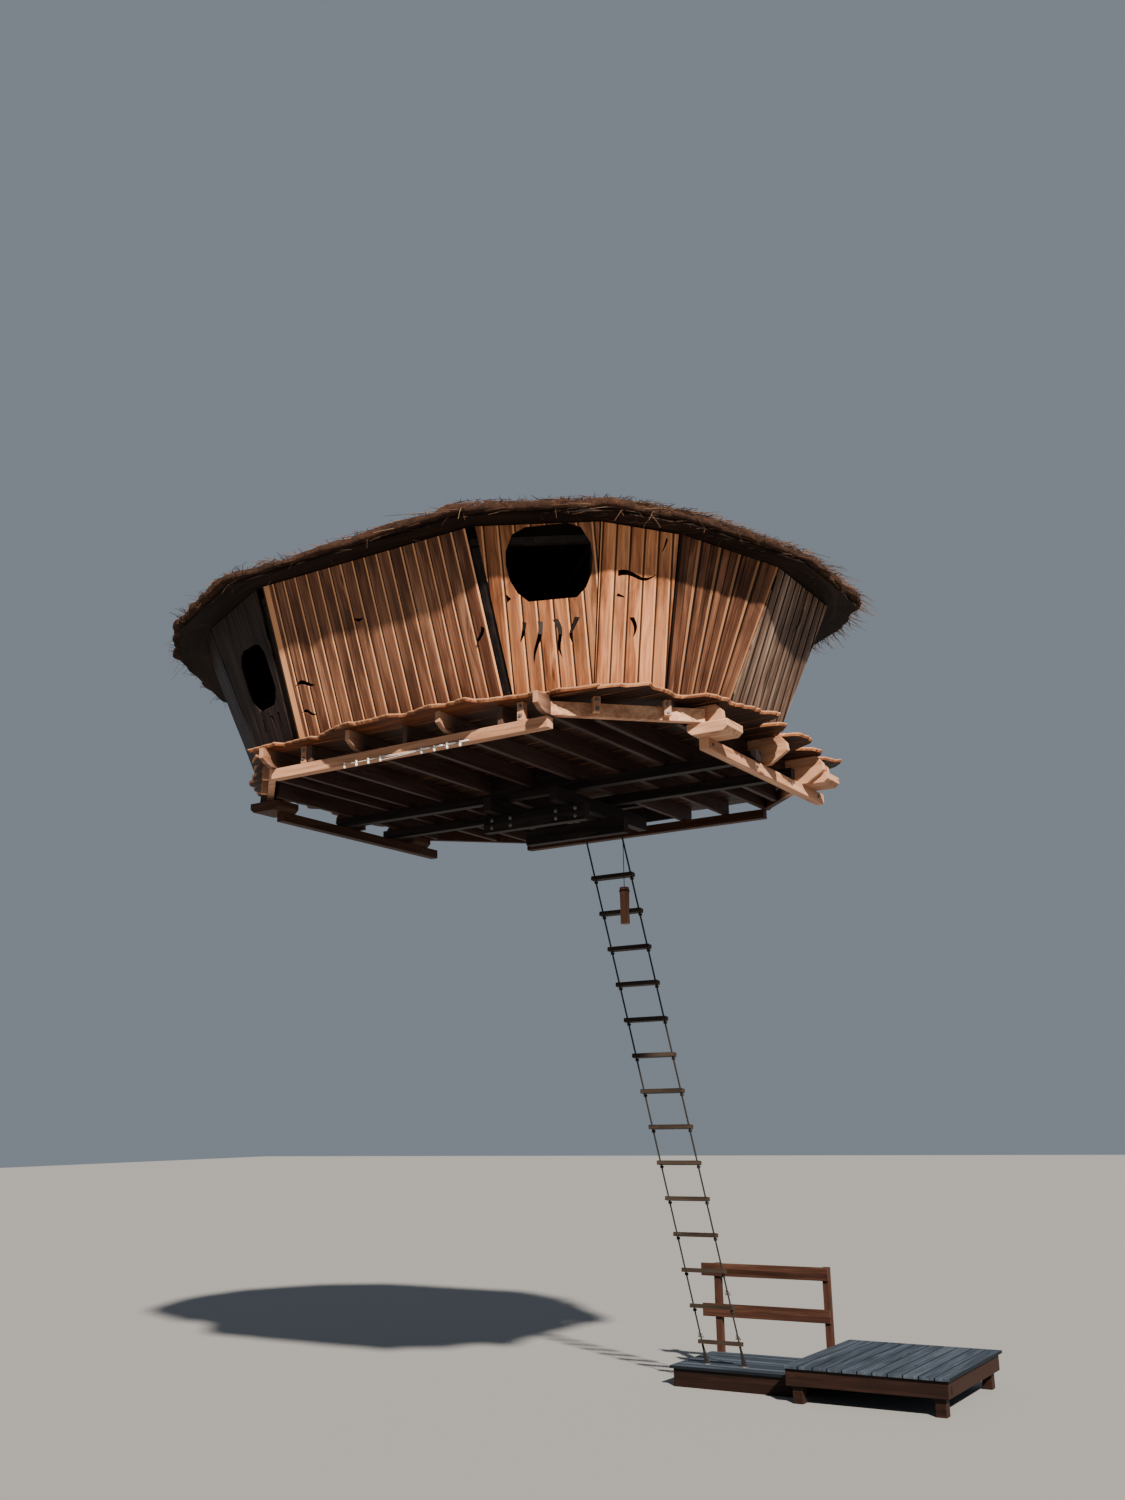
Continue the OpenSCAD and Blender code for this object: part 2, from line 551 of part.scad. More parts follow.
// a bar between corner i and i + 1, d0..d1 inside the walls' outer face, its top at drop() below the wall top
module bar(i, d0, d1, h) {
  function c(k, d, z) = let (H = htop(k) - drop(k) - z, s = k == i ? hair : -hair,
    q = W(k) + lead(k) * H - mitre_of(to(k - 1), to(k)) * d + te(i) * s) [q[0], q[1], z_floor + H];
  p = [c(i, d0, h), c(i + 1, d0, h), c(i + 1, d1, h), c(i, d1, h),
       c(i, d0, 0), c(i + 1, d0, 0), c(i + 1, d1, 0), c(i, d1, 0)];
  polyhedron(p, [[0, 1, 2], [0, 2, 3], [4, 6, 5], [4, 7, 6], [0, 5, 1], [0, 4, 5],
                 [1, 6, 2], [1, 5, 6], [2, 7, 3], [2, 6, 7], [3, 4, 0], [3, 7, 4]]);
}
module top_plates() color(wood) at_mount()
  for (i = [0:n - 1]) bar(i, wt + hair + (i == 2 || i == 12 ? 3 : 0), wt + stud, plate_h);

// ---- roof: wall tops, ring round the trunk and eaves lie on one surface, split at the corners
function T(i) = corner(i, 0, htop(i));
z_ring = z_floor + wall_hi + roof_rise;
function R(i, r = ring_r) = let (a = (i + 0.5) * 360 / n - 90) [r * cos(a), r * sin(a), z_ring];
function E(i, d) = let (t = T(i), q = R(i), l = norm([t[0] - q[0], t[1] - q[1]])) t + (t - q) * d / l;
// height above plan point p of the plane through a, b and c
function plane_z(a, b, c, p) = let (m = cross(b - a, c - a))
  a[2] - (m[0] * (p[0] - a[0]) + m[1] * (p[1] - a[1])) / m[2];
// lowest of the board planes that meet at the wall top i, and of those that meet at the ring's corner i
function under_T(i, p) = min(plane_z(T(i), R(i), R(i + 1), p), plane_z(T(i), R(i + 1), T(i + 1), p),
  plane_z(T(i - 1), R(i), T(i), p)) - hair;
function under_R(i, p) = min(plane_z(T(i), R(i), R(i + 1), p), plane_z(T(i - 1), R(i - 1), R(i), p),
  plane_z(T(i - 1), R(i), T(i), p)) - hair;

// the brush: rings of corners from the lip in to the trunk, its underside on the boards
module shell(lip, d, up, t) {
  rings = [for (z = [up, up + t]) [for (i = [0:n - 1]) E(i, d + lip) + [0, 0, z]], for (z = [up, up + t])
    [for (i = [0:n - 1]) E(i, d) + [0, 0, z]], for (z = [up, up + t]) [for (i = [0:n - 1]) T(i) + [0, 0, z]],
    for (z = [up, up + t]) [for (i = [0:n - 1]) R(i) + [0, 0, z]]];
  function q(a, b, i) = let (j = (i + 1) % n) [[a * n + i, b * n + i, b * n + j], [a * n + i, b * n + j, a * n + j]];
  function u(a, b, i) = let (j = (i + 1) % n) [[b * n + i, a * n + i, b * n + j], [a * n + i, a * n + j, b * n + j]];
  polyhedron([for (g = rings, p = g) p],
    [for (i = [0:n - 1], f = concat(u(0, 2, i), u(2, 4, i), u(4, 6, i), q(1, 3, i), q(3, 5, i), q(5, 7, i),
      q(0, 1, i), q(7, 6, i))) f]);
}
// one sector of boards between two rafters, a hair clear of its neighbours
module sector(i, d, up, t) {
  j = (i + 1) % n;
  s = hair * [edge(i)[0], edge(i)[1], 0];
  q = [E(i, d) + s, T(i) + s, R(i) + s, E(j, d) - s, T(j) - s, R(j) - s];
  p = concat([for (v = q) v + [0, 0, up]], [for (v = q) v + [0, 0, up + t]]);
  polyhedron(p, [[1, 0, 4], [0, 3, 4], [2, 1, 5], [1, 4, 5], [6, 7, 10], [6, 10, 9], [7, 8, 11], [7, 11, 10],
    [0, 6, 3], [6, 9, 3], [8, 2, 5], [8, 5, 11], [0, 1, 6], [1, 7, 6], [1, 2, 7], [2, 8, 7],
    [4, 3, 9], [4, 9, 10], [5, 4, 10], [5, 10, 11]]);
}
module roof_boards() color(dark) at_mount() for (i = [0:n - 1]) sector(i, eave, 0, roof_t);
module brush_roof() color(brush) at_mount() shell(45, eave, roof_t + hair, thatch_t);

// ring of boards round the trunk's hole, its top cut to the slopes of the roof
module roof_ring() color(wood) at_mount() {
  p = [for (i = [0:n - 1]) let (a = R(i), b = R(i, ring_r + ring_t))
    each [[a[0], a[1], z_ring - ring_h], [b[0], b[1], z_ring - ring_h], [b[0], b[1], under_R(i, b)],
          [a[0], a[1], z_ring - hair]]];
  polyhedron(p, [for (i = [0:n - 1], k = [0:3]) let (a = 4 * i + k, b = 4 * i + (k + 1) % 4,
    c = (a + 4) % (4 * n), d = (b + 4) % (4 * n)) each [[a, c, d], [a, d, b]]]);
}
// plan direction of rafter i, out from the ring
function way(i) = let (d = T(i) - R(i)) [d[0], d[1]] / norm([d[0], d[1]]);
// how far along d a bar of the rafters' thickness must go to clear a face of normal m by e
function past(m, d, e) = let (c = m * d) (e + hair + rafter_t / 2 * sqrt(max(0, 1 - c * c))) / c;
function rafter_start(i) = let (d = way(i), a = [R(i)[0], R(i)[1]],
  k = min([for (j = [0:n - 1]) let (m = unit(j * 360 / n)) if (m * d > 0.2)
    past(m, d, (ring_r + ring_t) * cos(180 / n) - m * a)]), p = a + k * d) [p[0], p[1], 0];
function rafter_end(i) = let (d = way(i), t = [T(i)[0], T(i)[1]], e = wt + lean * (rafter_h + 15),
  p = t - d * max(past(to(i - 1), d, e), past(to(i), d, e)), z = rafter_top(i, p, false)) [p[0], p[1], z];
// top of rafter i at plan point p: under the boards on both of its sides
function rafter_top(i, p, ring) = let (d = way(i), s = [-d[1], d[0]] * rafter_t / 2)
  min([for (k = [-1, 1]) let (q = p + k * s) ring ? under_R(i, q) : under_T(i, q)]);
module rafters() color(wood) at_mount() for (i = [0:n - 1]) {
  d = way(i); s = [-d[1], d[0]] * rafter_t / 2;
  a = rafter_start(i); b = rafter_end(i);
  za = rafter_top(i, [a[0], a[1]], true);
  p = [for (z = [-rafter_h, 0]) each [[a[0] - s[0], a[1] - s[1], za + z], [b[0] - s[0], b[1] - s[1], b[2] + z],
    [b[0] + s[0], b[1] + s[1], b[2] + z], [a[0] + s[0], a[1] + s[1], za + z]]];
  polyhedron(p, [[0, 1, 2, 3], [7, 6, 5, 4], [0, 4, 5, 1], [1, 5, 6, 2], [2, 6, 7, 3], [3, 7, 4, 0]]);
}

// ---- ladder
lt = [-top_x, ladder_y, z_joist - 8];
lf = [foot_x, foot_y, z_low];
ld = lf - lt; ll = norm(ld);
lu = ld / ll;                       // down the ladder
function on_ladder(s, x = 0) = lt + lu * s + [x, 0, 0];
module rod(a, b, r) {
  d = b - a; l = norm(d);
  translate(a) rotate([0, acos(d[2] / l), atan2(d[1], d[0])]) cylinder(r = r, h = l, $fn = 10);
}
last = ll - foot_gap;               // lowest rung, along the ladder
first = last - (rungs - 1) * rung_pitch;
module ladder_bar() color(dark) at_mount()
  box(long_x[1] + joist_t / 2, long_x[2] - joist_t / 2, ladder_y - 30, ladder_y + 30, z_joist, z_joist + 90);
module ladder_ropes() color(rope) at_mount() for (s = [-1, 1]) {
  rod(on_ladder(4, s * rope_gap / 2), on_ladder(last + 89, s * rope_gap / 2), rope_r);
  // turn of rope over the bar
  translate([-top_x + s * rope_gap / 2, ladder_y, z_joist + 45]) rotate([0, 90, 0]) rotate(0)
    translate([0, 0, -rope_r]) linear_extrude(2 * rope_r) difference() {
      square([90 + 4 * rope_r, 60 + 4 * rope_r], center = true);
      square([90.2, 60.2], center = true);
    }
}
module ladder_rungs() color(wood) at_mount() for (k = [0:rungs - 1])
  translate(on_ladder(first + k * rung_pitch)) difference() {
    rotate([-8, 0, 0]) translate([-rung_l / 2, -34, -20]) cube([rung_l, 68, 40]);
    for (s = [-1, 1]) translate([s * rope_gap / 2, 0, 0]) rod(-lu * 80, lu * 80, rope_r + 0.3);
  }
module ladder_shackles() color(steel) at_mount() for (s = [-1, 1]) {
  a = on_ladder(last + 90, s * rope_gap / 2); b = [lf[0] + s * rope_gap / 2, lf[1], z_low];
  rod(a, b + [0, 0, 14], 7);
  translate(b) cylinder(r = 32, h = 14);
}

// ---- landing decks
low_x0 = foot_x - 517; low_x1 = low_x0 + low_l;
low_y0 = foot_y - 225; low_y1 = low_y0 + low_d;
high_x0 = low_x1; high_x1 = high_x0 + high_l;
high_y0 = low_y0 - 310; high_y1 = high_y0 + high_d;
module planks_x(x0, x1, y0, y1, z, m) {
  p = (y1 - y0 + 5) / m;
  for (k = [0:m - 1]) box(x0, x1, y0 + k * p, y0 + (k + 1) * p - 5, z - deck_t, z);
}
module planks_y(x0, x1, y0, y1, z, m) {
  p = (x1 - x0 + 5) / m;
  for (k = [0:m - 1]) box(x0 + k * p, x0 + (k + 1) * p - 5, y0, y1, z - deck_t, z);
}
module low_deck() color(grey) at_mount() planks_x(low_x0, low_x1, low_y0, low_y1, z_low, 8);
module high_deck() color(grey) at_mount() planks_y(high_x0, high_x1, high_y0, high_y1, z_high, 11);
// four frame boards on edge, butted with a hair between them, and a middle one
module ring_frame(x0, x1, y0, y1, z0, z1, t, mid_x) {
  for (y = [y0, y1 - t]) box(x0, x1, y, y + t, z0, z1);
  for (x = [x0, x1 - t]) box(x, x + t, y0 + t + 0.5, y1 - t - 0.5, z0, z1);
  if (mid_x) box((x0 + x1 - t) / 2, (x0 + x1 + t) / 2, y0 + t + 0.5, y1 - t - 0.5, z0, z1);
  else box(x0 + t + 0.5, x1 - t - 0.5, (y0 + y1 - t) / 2, (y0 + y1 + t) / 2, z0, z1);
}
module landing_frame() color(dark) at_mount() {
  ring_frame(low_x0 + 30, low_x1 - 2 * hair, low_y0 + 30, low_y1 - 30, z_ground, z_low - deck_t, 45, true);
  ring_frame(high_x0, high_x1 - 30, high_y0 + 30, high_y1 - 30, z_high - deck_t - high_f, z_high - deck_t, 45, false);
  for (x = [high_x0 + 46, high_x1 - 176], y = [high_y0 + 76, high_y1 - 176])
    box(x, x + 100, y, y + 100, z_ground, z_high - deck_t);
}
high_f = 150;                       // height of the high deck's frame boards
post = 70;
post_x = [low_x0 + 65, low_x1 - post - 5];
module rail_posts() color(wood) at_mount() for (x = post_x)
  box(x, x + post, low_y1, low_y1 + post, z_ground, z_low + rail_h);
module rail_boards() color(wood) at_mount() for (z = [z_low + rail_h, z_low + rail_h * 0.54])
  box(low_x0 - 70, low_x1 - 3, low_y1 - 28, low_y1, z - rail_b, z);

// ---- small pieces
module hanging_log() color(wood) at_mount() {
  translate([trunk_r + beam_t / 2 + 15, 600, 0]) {
    translate([0, 0, -cross_h - log_drop]) cylinder(r = 3, h = log_drop, $fn = 8);
    translate([0, 0, -cross_h - log_drop - log_l]) cylinder(d = log_d, h = log_l);
  }
}
module peg_string() color([0.9, 0.9, 0.88]) at_mount() {
  r = 6; x0 = -645; y = -plat_front - 1.8 * r; z = r;
  translate([x0, y, z]) rotate([0, 90, 0]) cylinder(r = r, h = peg_gap + (pegs / 2 - 1) * peg_pitch + 91, $fn = 8);
  // a group of pegs at each end of the string, those on the right with a clip
  for (g = [0, 1], k = [0:pegs / 2 - 1]) translate([x0 + g * peg_gap + k * peg_pitch, y, z]) {
    translate([r, 0, -30]) cylinder(r = 1.8 * r - hair, h = 46, $fn = 10);
    if (g > 0) translate([r, 0, 0]) rotate([0, 90, 0]) cylinder(r = 1.6 * r, h = 86, $fn = 8);
  }
}

clamp_front();
clamp_back();
cross_beams();
bearer_front();
bearer_back();
rim_front();
rim_back();
rim_left();
rim_right();
slant_rims();
corner_blocks();
joists();
outriggers();
hatch_frame();
deck_front();
deck_back();
stud_feet();
front_wall();
window_wall();
slit_wall();
corner_wall();
right_end_wall();
right_back_walls();
back_wall();
left_back_walls();
left_end_wall();
left_corner_walls();
left_window_wall();
corner_studs();
top_plates();
rafters();
roof_ring();
roof_boards();
brush_roof();
ladder_bar();
ladder_ropes();
ladder_rungs();
ladder_shackles();
low_deck();
high_deck();
landing_frame();
rail_posts();
rail_boards();
hanging_log();
peg_string();
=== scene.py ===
# %% [markdown]
# # A tree house, board by board
#
# A flared cabin of narrow boards sits high up on an eight-sided timber deck, and a rope ladder leans from a
# small landing deck up to a hatch behind the cabin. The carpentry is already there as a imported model, at
# its real size. This lesson gives it its looks: boards that differ from one another, eased edges that catch
# the light, a brush roof made of thousands of twigs, laid rope, bolts and a pale studio.
#
# First comes the frame. Every length below is in metres, and +Z is up.

# %% Load the carpentry
import math

import bmesh
import bpy
import numpy as np
from mathutils import Matrix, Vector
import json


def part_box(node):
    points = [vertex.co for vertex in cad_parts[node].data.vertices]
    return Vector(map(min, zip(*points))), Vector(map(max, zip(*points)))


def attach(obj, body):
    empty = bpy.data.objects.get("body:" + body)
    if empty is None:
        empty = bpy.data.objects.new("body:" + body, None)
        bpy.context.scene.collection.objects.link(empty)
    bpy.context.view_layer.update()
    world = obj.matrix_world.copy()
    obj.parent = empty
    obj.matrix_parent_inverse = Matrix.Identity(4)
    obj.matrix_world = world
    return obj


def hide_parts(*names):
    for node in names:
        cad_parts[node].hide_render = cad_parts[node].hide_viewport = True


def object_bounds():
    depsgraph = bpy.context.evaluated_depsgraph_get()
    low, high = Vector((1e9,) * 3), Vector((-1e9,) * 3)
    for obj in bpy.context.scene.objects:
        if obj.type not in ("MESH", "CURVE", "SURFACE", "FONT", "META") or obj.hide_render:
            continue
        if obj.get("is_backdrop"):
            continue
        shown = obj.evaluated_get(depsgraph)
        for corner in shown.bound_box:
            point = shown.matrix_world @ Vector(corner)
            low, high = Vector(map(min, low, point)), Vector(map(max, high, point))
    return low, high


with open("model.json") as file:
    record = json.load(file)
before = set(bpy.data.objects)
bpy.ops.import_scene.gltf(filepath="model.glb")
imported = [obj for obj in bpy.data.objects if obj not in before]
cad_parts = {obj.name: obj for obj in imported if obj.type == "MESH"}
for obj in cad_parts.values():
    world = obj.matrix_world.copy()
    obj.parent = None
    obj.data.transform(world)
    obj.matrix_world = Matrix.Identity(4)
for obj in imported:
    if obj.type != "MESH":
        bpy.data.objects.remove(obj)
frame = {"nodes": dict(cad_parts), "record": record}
nodes = frame["nodes"]
cad_low, cad_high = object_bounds()
print("carpentry from", [round(v, 3) for v in cad_low], "to", [round(v, 3) for v in cad_high])

# %% [markdown]
# ## The camera
#
# The picture is taken from below, in front of the house and to its right, looking up. Where the lens
# stands, the plan direction that it looks along and how far it is tipped up set the view, and the focal
# length says how much of it shows. A small roll of one degree is kept, because an upright tree house that
# leans by a degree reads as a hand-held picture.

# %% Place the camera
EYE = np.array([6.678, -10.324, -2.675])
HEADING = np.array([-0.527, 0.850])
TILT_UP = math.radians(15.19)
ROLL = math.radians(-1.0)
FOCAL_PIXELS = 1363.0
LONG_SIDE_PIXELS = 1500
SENSOR = 36.0
FARTHEST = 200


def unit(vectors):
    """The same directions at length one."""
    return vectors / np.linalg.norm(vectors, axis=-1, keepdims=True)


def into_scene(name, data):
    """A new object of the scene, at the origin."""
    made = bpy.data.objects.new(name, data)
    bpy.context.scene.collection.objects.link(made)
    return made


def aim(thing, right, up, back, place=(0, 0, 0)):
    """Sets a camera or a lamp at a place. It looks the opposite way to back."""
    turn = np.stack([right, up, back], 1)
    thing.matrix_world = Matrix([[*row, way] for row, way in zip(turn, place)] + [[0, 0, 0, 1]])


def camera_axes():
    """Right, up and forward: forward is the heading tipped up, and the roll turns right and up about it."""
    heading = unit(HEADING)
    forward = np.append(heading * math.cos(TILT_UP), math.sin(TILT_UP))
    right = np.array([heading[1], -heading[0], 0.0])
    up = np.cross(right, forward)
    return (math.cos(ROLL) * right + math.sin(ROLL) * up,
            math.cos(ROLL) * up - math.sin(ROLL) * right, forward)


right, up, forward = camera_axes()
camera = into_scene("camera", bpy.data.cameras.new("camera"))
bpy.context.scene.camera = camera
aim(camera, right, up, -forward, EYE)
camera.data.sensor_width = SENSOR
camera.data.lens = SENSOR * FOCAL_PIXELS / LONG_SIDE_PIXELS
camera.data.clip_end = FARTHEST
print("lens", round(camera.data.lens, 1), "mm, tipped up", round(math.degrees(TILT_UP), 1), "degrees")

# %% [markdown]
# ## Writing shaders as sums
#
# A wood finish is mostly arithmetic: a grain value times a depth, plus a tint for each board. Wiring dozens
# of Math nodes by hand hides that, so one small class wraps a socket and turns +, -, * and / into Math
# nodes. Every other node goes through one method, which sets the node's own settings before it links its
# sockets.

# %% Shader helpers
class Value:
    """A socket's value in a material, usable in sums with numbers and other values."""

    def __init__(self, finish, socket):
        self.finish, self.socket = finish, socket

    def math(self, operation, *others):
        return self.finish.math(operation, self, *others)

    def __add__(self, other):
        return self.math("ADD", other)

    def __sub__(self, other):
        return self.math("SUBTRACT", other)

    def __rsub__(self, other):
        return self.finish.math("SUBTRACT", other, self)

    def __mul__(self, other):
        return self.math("MULTIPLY", other)

    def __truediv__(self, other):
        return self.math("DIVIDE", other)

    __radd__, __rmul__ = __add__, __mul__


class Finish:
    """A material being made: node() adds any node, and the short methods below it name the common ones."""

    def __init__(self, name):
        self.material = bpy.data.materials.new(name)
        self.material.use_nodes = True
        self.tree = self.material.node_tree
        self.tree.nodes.clear()

    def node(self, kind, settings=None, sockets=None, out=0):
        made = self.tree.nodes.new("ShaderNode" + kind)
        for name, setting in (settings or {}).items():
            if name == "stops":
                while len(made.color_ramp.elements) < len(setting):
                    made.color_ramp.elements.new(1.0)
                for element, (place, colour) in zip(made.color_ramp.elements, setting):
                    element.position, element.color = place, (*colour, 1.0)
            else:
                setattr(made, name, setting)
        for key, value in (sockets or {}).items():
            if isinstance(value, Value):
                self.tree.links.new(value.socket, made.inputs[key])
            else:
                made.inputs[key].default_value = value
        return Value(self, made.outputs[out]) if len(made.outputs) else made

    def math(self, operation, *terms):
        return self.node("Math", {"operation": operation}, dict(enumerate(terms)))

    def place(self):
        """Object coordinates, which are the house's own metres, because every object sits at the origin."""
        return self.node("TexCoord", out="Object")

    def dot(self, vector, direction, origin=(0, 0, 0)):
        """How far a place lies from an origin along a direction."""
        moved = self.node("VectorMath", {"operation": "SUBTRACT"}, {0: vector, 1: tuple(origin)})
        product = {"operation": "DOT_PRODUCT"}
        return self.node("VectorMath", product, {0: moved, 1: tuple(direction)}, out="Value")

    def join(self, x, y, z):
        return self.node("CombineXYZ", sockets={0: x, 1: y, 2: z})

    def noise(self, vector, scale, detail=4.0, rough=0.55, bend=0.0):
        return self.node("TexNoise", sockets={"Vector": vector, "Scale": scale, "Detail": detail,
                                              "Roughness": rough, "Distortion": bend})

    def dice(self, number):
        """A random value between 0 and 1 for each whole number."""
        return self.node("TexWhiteNoise", {"noise_dimensions": "1D"}, {"W": number})

    def ramp(self, value, *stops):
        return self.node("ValToRGB", {"stops": stops}, {"Fac": value})

    def ease(self, value, low, high):
        """0 below low, 1 above high, and a soft S between them."""
        return self.node("MapRange", {"interpolation_type": "SMOOTHSTEP"},
                         {"Value": value, "From Min": low, "From Max": high})

    def mix(self, share, a, b, blend="MIX"):
        """(1 - share) x a + share x b. With another blend, that blend of a and b takes the place of b."""
        a, b = [(*c, 1.0) if isinstance(c, tuple) and len(c) == 3 else c for c in (a, b)]
        return self.node("Mix", {"data_type": "RGBA", "blend_type": blend}, {0: share, 6: a, 7: b}, out=2)

    def tint(self, share, colour, by):
        """The colour multiplied by another one, as far as the share goes."""
        return self.mix(share, colour, self.mix(1.0, colour, by, "MULTIPLY"))

    def bump(self, height, depth):
        return self.node("Bump", sockets={"Height": height, "Distance": depth, "Strength": 1.0})

    def surface(self, colour, rough, normal=None, metallic=0.0, specular=0.12):
        plain = isinstance(colour, tuple)
        sockets = {"Base Color": (*colour, 1.0) if plain else colour, "Roughness": rough,
                   "Metallic": metallic, "Specular IOR Level": specular}
        if normal is not None:
            sockets["Normal"] = normal
        shader = self.node("BsdfPrincipled", sockets=sockets)
        self.node("OutputMaterial", sockets={"Surface": shader})
        return self.material


def wear(piece, material):
    """Gives a piece its one material."""
    piece.data.materials.clear()
    piece.data.materials.append(material)


# %% [markdown]
# ## Timber
#
# Sawn timber shows three things at three scales: broad streaks of early and late wood, fine fibres that run
# the length of the piece, and a knot here and there that the fibres bend around. All three come from noise
# that is stretched along the grain. Each piece also has its own tone, and that comes from dice thrown for
# the number of the board. The fibres also drive a shallow bump, so low light rakes over them. Where a beam
# is cut off, its yearly rings show instead, and they are taken wherever the face looks along the grain.

# %% Timber finish
AXES = {"x": ((1, 0, 0), (0, 1, 0), (0, 0, 1)), "y": ((0, 1, 0), (1, 0, 0), (0, 0, 1)),
        "z": ((0, 0, 1), (1, 0, 0), (0, 1, 0))}


def shade_of(colour, factor):
    """A colour times a factor."""
    return tuple(factor * channel for channel in colour)


def wood_layers(finish, along, across, through, lot, tones, knots=1.0, weather=0.35):
    """Colour and height of wood: streaks + fibres + knots, tinted by the dice of its lot number.

    along, across and through are distances in metres, along the grain and the two ways across it."""
    dark, middle, light = tones
    luck = finish.dice(lot)
    second_luck = finish.dice(lot + 71.3)
    cell = finish.join(across * 7.0 + lot * 3.1, along * 1.6 + luck * 9.0, through * 7.0)
    spot = finish.node("TexVoronoi", {"feature": "F1"}, {"Vector": cell, "Scale": 1.0}, out="Distance")
    knot = 1.0 - finish.ease(spot, 0.035, 0.10 * knots + 0.04)
    swirl = (1.0 - finish.ease(spot, 0.0, 0.5)) * 0.9
    fibre_place = finish.join(across * 60.0 + swirl + lot * 1.7, along * 1.9 + luck * 20.0, through * 60.0)
    streak_place = finish.join(across * 15.0 + swirl + luck * 11.0, along * 0.75 + lot * 2.3, through * 15.0)
    streaks = finish.noise(streak_place, 1.0, 3.0, 0.55, 0.8)
    fibres = finish.noise(fibre_place, 1.0, 6.0, 0.65, 0.3)
    figure = streaks * 0.62 + fibres * 0.38
    colour = finish.ramp(figure, (0.38, dark), (0.50, middle), (0.61, light))
    tone = finish.mix(luck * 0.75, colour, finish.mix(0.6, colour, dark))
    tone = finish.mix(second_luck * 0.55, tone, finish.mix(0.55, tone, light))
    tone = finish.mix(knot * 0.8, tone, shade_of(dark, 0.35))
    stain = finish.noise(finish.join(across * 5.0 + luck * 5.0, along * 0.9, through * 5.0), 1.0, 5.0, 0.62)
    stain = finish.ease(stain, 0.44, 0.66)
    tone = finish.mix(stain * weather, tone, shade_of(dark, 0.45))
    return tone, fibres * 0.7 + streaks * 0.3 - knot * 0.25


def end_grain(finish, tone, height, axis, across, through, lot, tones):
    """Where a face looks along the grain: rings about a pith that lies off the piece, and radial checks."""
    normal = finish.node("TexCoord", out="Normal")
    facing = finish.dot(normal, AXES[axis][0]).math("ABSOLUTE")
    mask = finish.ease(facing, 0.80, 0.95)
    luck = finish.dice(lot + 13.7)
    side, rise = across + luck * 0.12 + 0.05, through - 0.2 + luck * 0.1
    radius = (side * side + rise * rise).math("SQRT")
    wobble = finish.noise(finish.join(across, through, lot), 30.0, 2.0)
    rings = ((radius * 900.0 + wobble * 9.0).math("SINE") + 1.0) * 0.5
    checks = finish.noise(finish.join(side.math("ARCTAN2", rise) * 26.0, radius * 3.0, lot), 1.0, 3.0)
    checks = finish.ease(checks, 0.60, 0.68)
    cut = finish.mix(rings, shade_of(tones[1], 0.85), tones[2])
    cut = finish.mix(checks * 0.7, cut, shade_of(tones[0], 0.5))
    return finish.mix(mask, tone, cut), height * (1.0 - mask) + (rings * 0.3 - checks * 0.8) * mask


def timber(name, axis, tones, lot_size=0.5, rough=0.62, depth=0.0016, deep=None, ends=True, first=None,
           **layers):
    """A finish for beams whose grain runs along one axis. Pieces lot_size apart get lots of their own.

    Painted shade along a direction comes as (direction, from, to, tint): it darkens the piece, as under a
    deck. For planks side by side, first is where the first one starts: their edges are dark, and the lots
    change exactly there."""
    finish = Finish(name)
    place = finish.place()
    along, across, through = [finish.dot(place, direction) for direction in AXES[axis]]
    lot = (across / lot_size + 0.31).math("FLOOR") + (through / lot_size + 0.17).math("FLOOR") * 7.0
    if first is not None:
        lot = ((across - first) / lot_size).math("FLOOR")
    tone, height = wood_layers(finish, along, across, through, lot, tones, **layers)
    if first is not None:
        inside = across - first - lot * lot_size
        far_edge = finish.ease(inside - lot_size, -0.011, -0.008)
        edge = 1.0 - finish.ease(inside, 0.003, 0.006) * (1.0 - far_edge)
        tone = finish.mix(edge * 0.9, tone, shade_of(tones[0], 0.2))
    if ends:
        tone, height = end_grain(finish, tone, height, axis, across, through, lot, tones)
    # painted shade: the tone is tinted darker along a direction
    if deep:
        direction, start, stop, dark = deep
        tone = finish.tint(finish.ease(finish.dot(place, direction), start, stop), tone, dark)
    return finish.surface(tone, rough - height * 0.12, finish.bump(height, depth))


FRESH = ((0.28, 0.12, 0.062), (0.49, 0.24, 0.135), (0.66, 0.38, 0.235))
OILED = ((0.100, 0.031, 0.013), (0.32, 0.113, 0.045), (0.55, 0.25, 0.12))
# painted light: a brighter copy of the oiled tones for the sunlit slit wall; its palest tone is also the
# painted highlight on the flanks
SUNLIT_PAINTED = ((0.19, 0.060, 0.025), (0.54, 0.20, 0.082), (0.80, 0.39, 0.19))
# painted shade: a darker copy of the oiled tones for the front wall, which the sun only grazes, and for the
# back wall
RAKED_SHADE_PAINTED = ((0.046, 0.016, 0.009), (0.160, 0.060, 0.031), (0.36, 0.175, 0.10))
# painted shade: a darker copy of the oiled tones for the fanned right corner wall and the far-left walls,
# which stand in shade
HALF_SHADE_PAINTED = ((0.030, 0.011, 0.006), (0.105, 0.040, 0.021), (0.27, 0.120, 0.066))
# weathered boards with painted shade: their greyish tone is partly weathering and partly the cool shade on the
# right end and right back walls
WEATHERED_AND_SHADED = ((0.050, 0.027, 0.019), (0.165, 0.092, 0.062), (0.38, 0.27, 0.205))
# painted shade: a near-black copy of the oiled tones for the left corner and left window walls, which stand in
# deep shade
DEEP_SHADE_PAINTED = ((0.010, 0.006, 0.005), (0.025, 0.015, 0.012), (0.050, 0.031, 0.025))
SHADED = ((0.006, 0.0045, 0.0045), (0.014, 0.010, 0.0095), (0.028, 0.020, 0.018))
# a dark stain with painted shade on top: the landing frame is darker still, as it stands in shade
STAINED_AND_SHADED = ((0.008, 0.004, 0.003), (0.018, 0.008, 0.0055), (0.036, 0.017, 0.011))
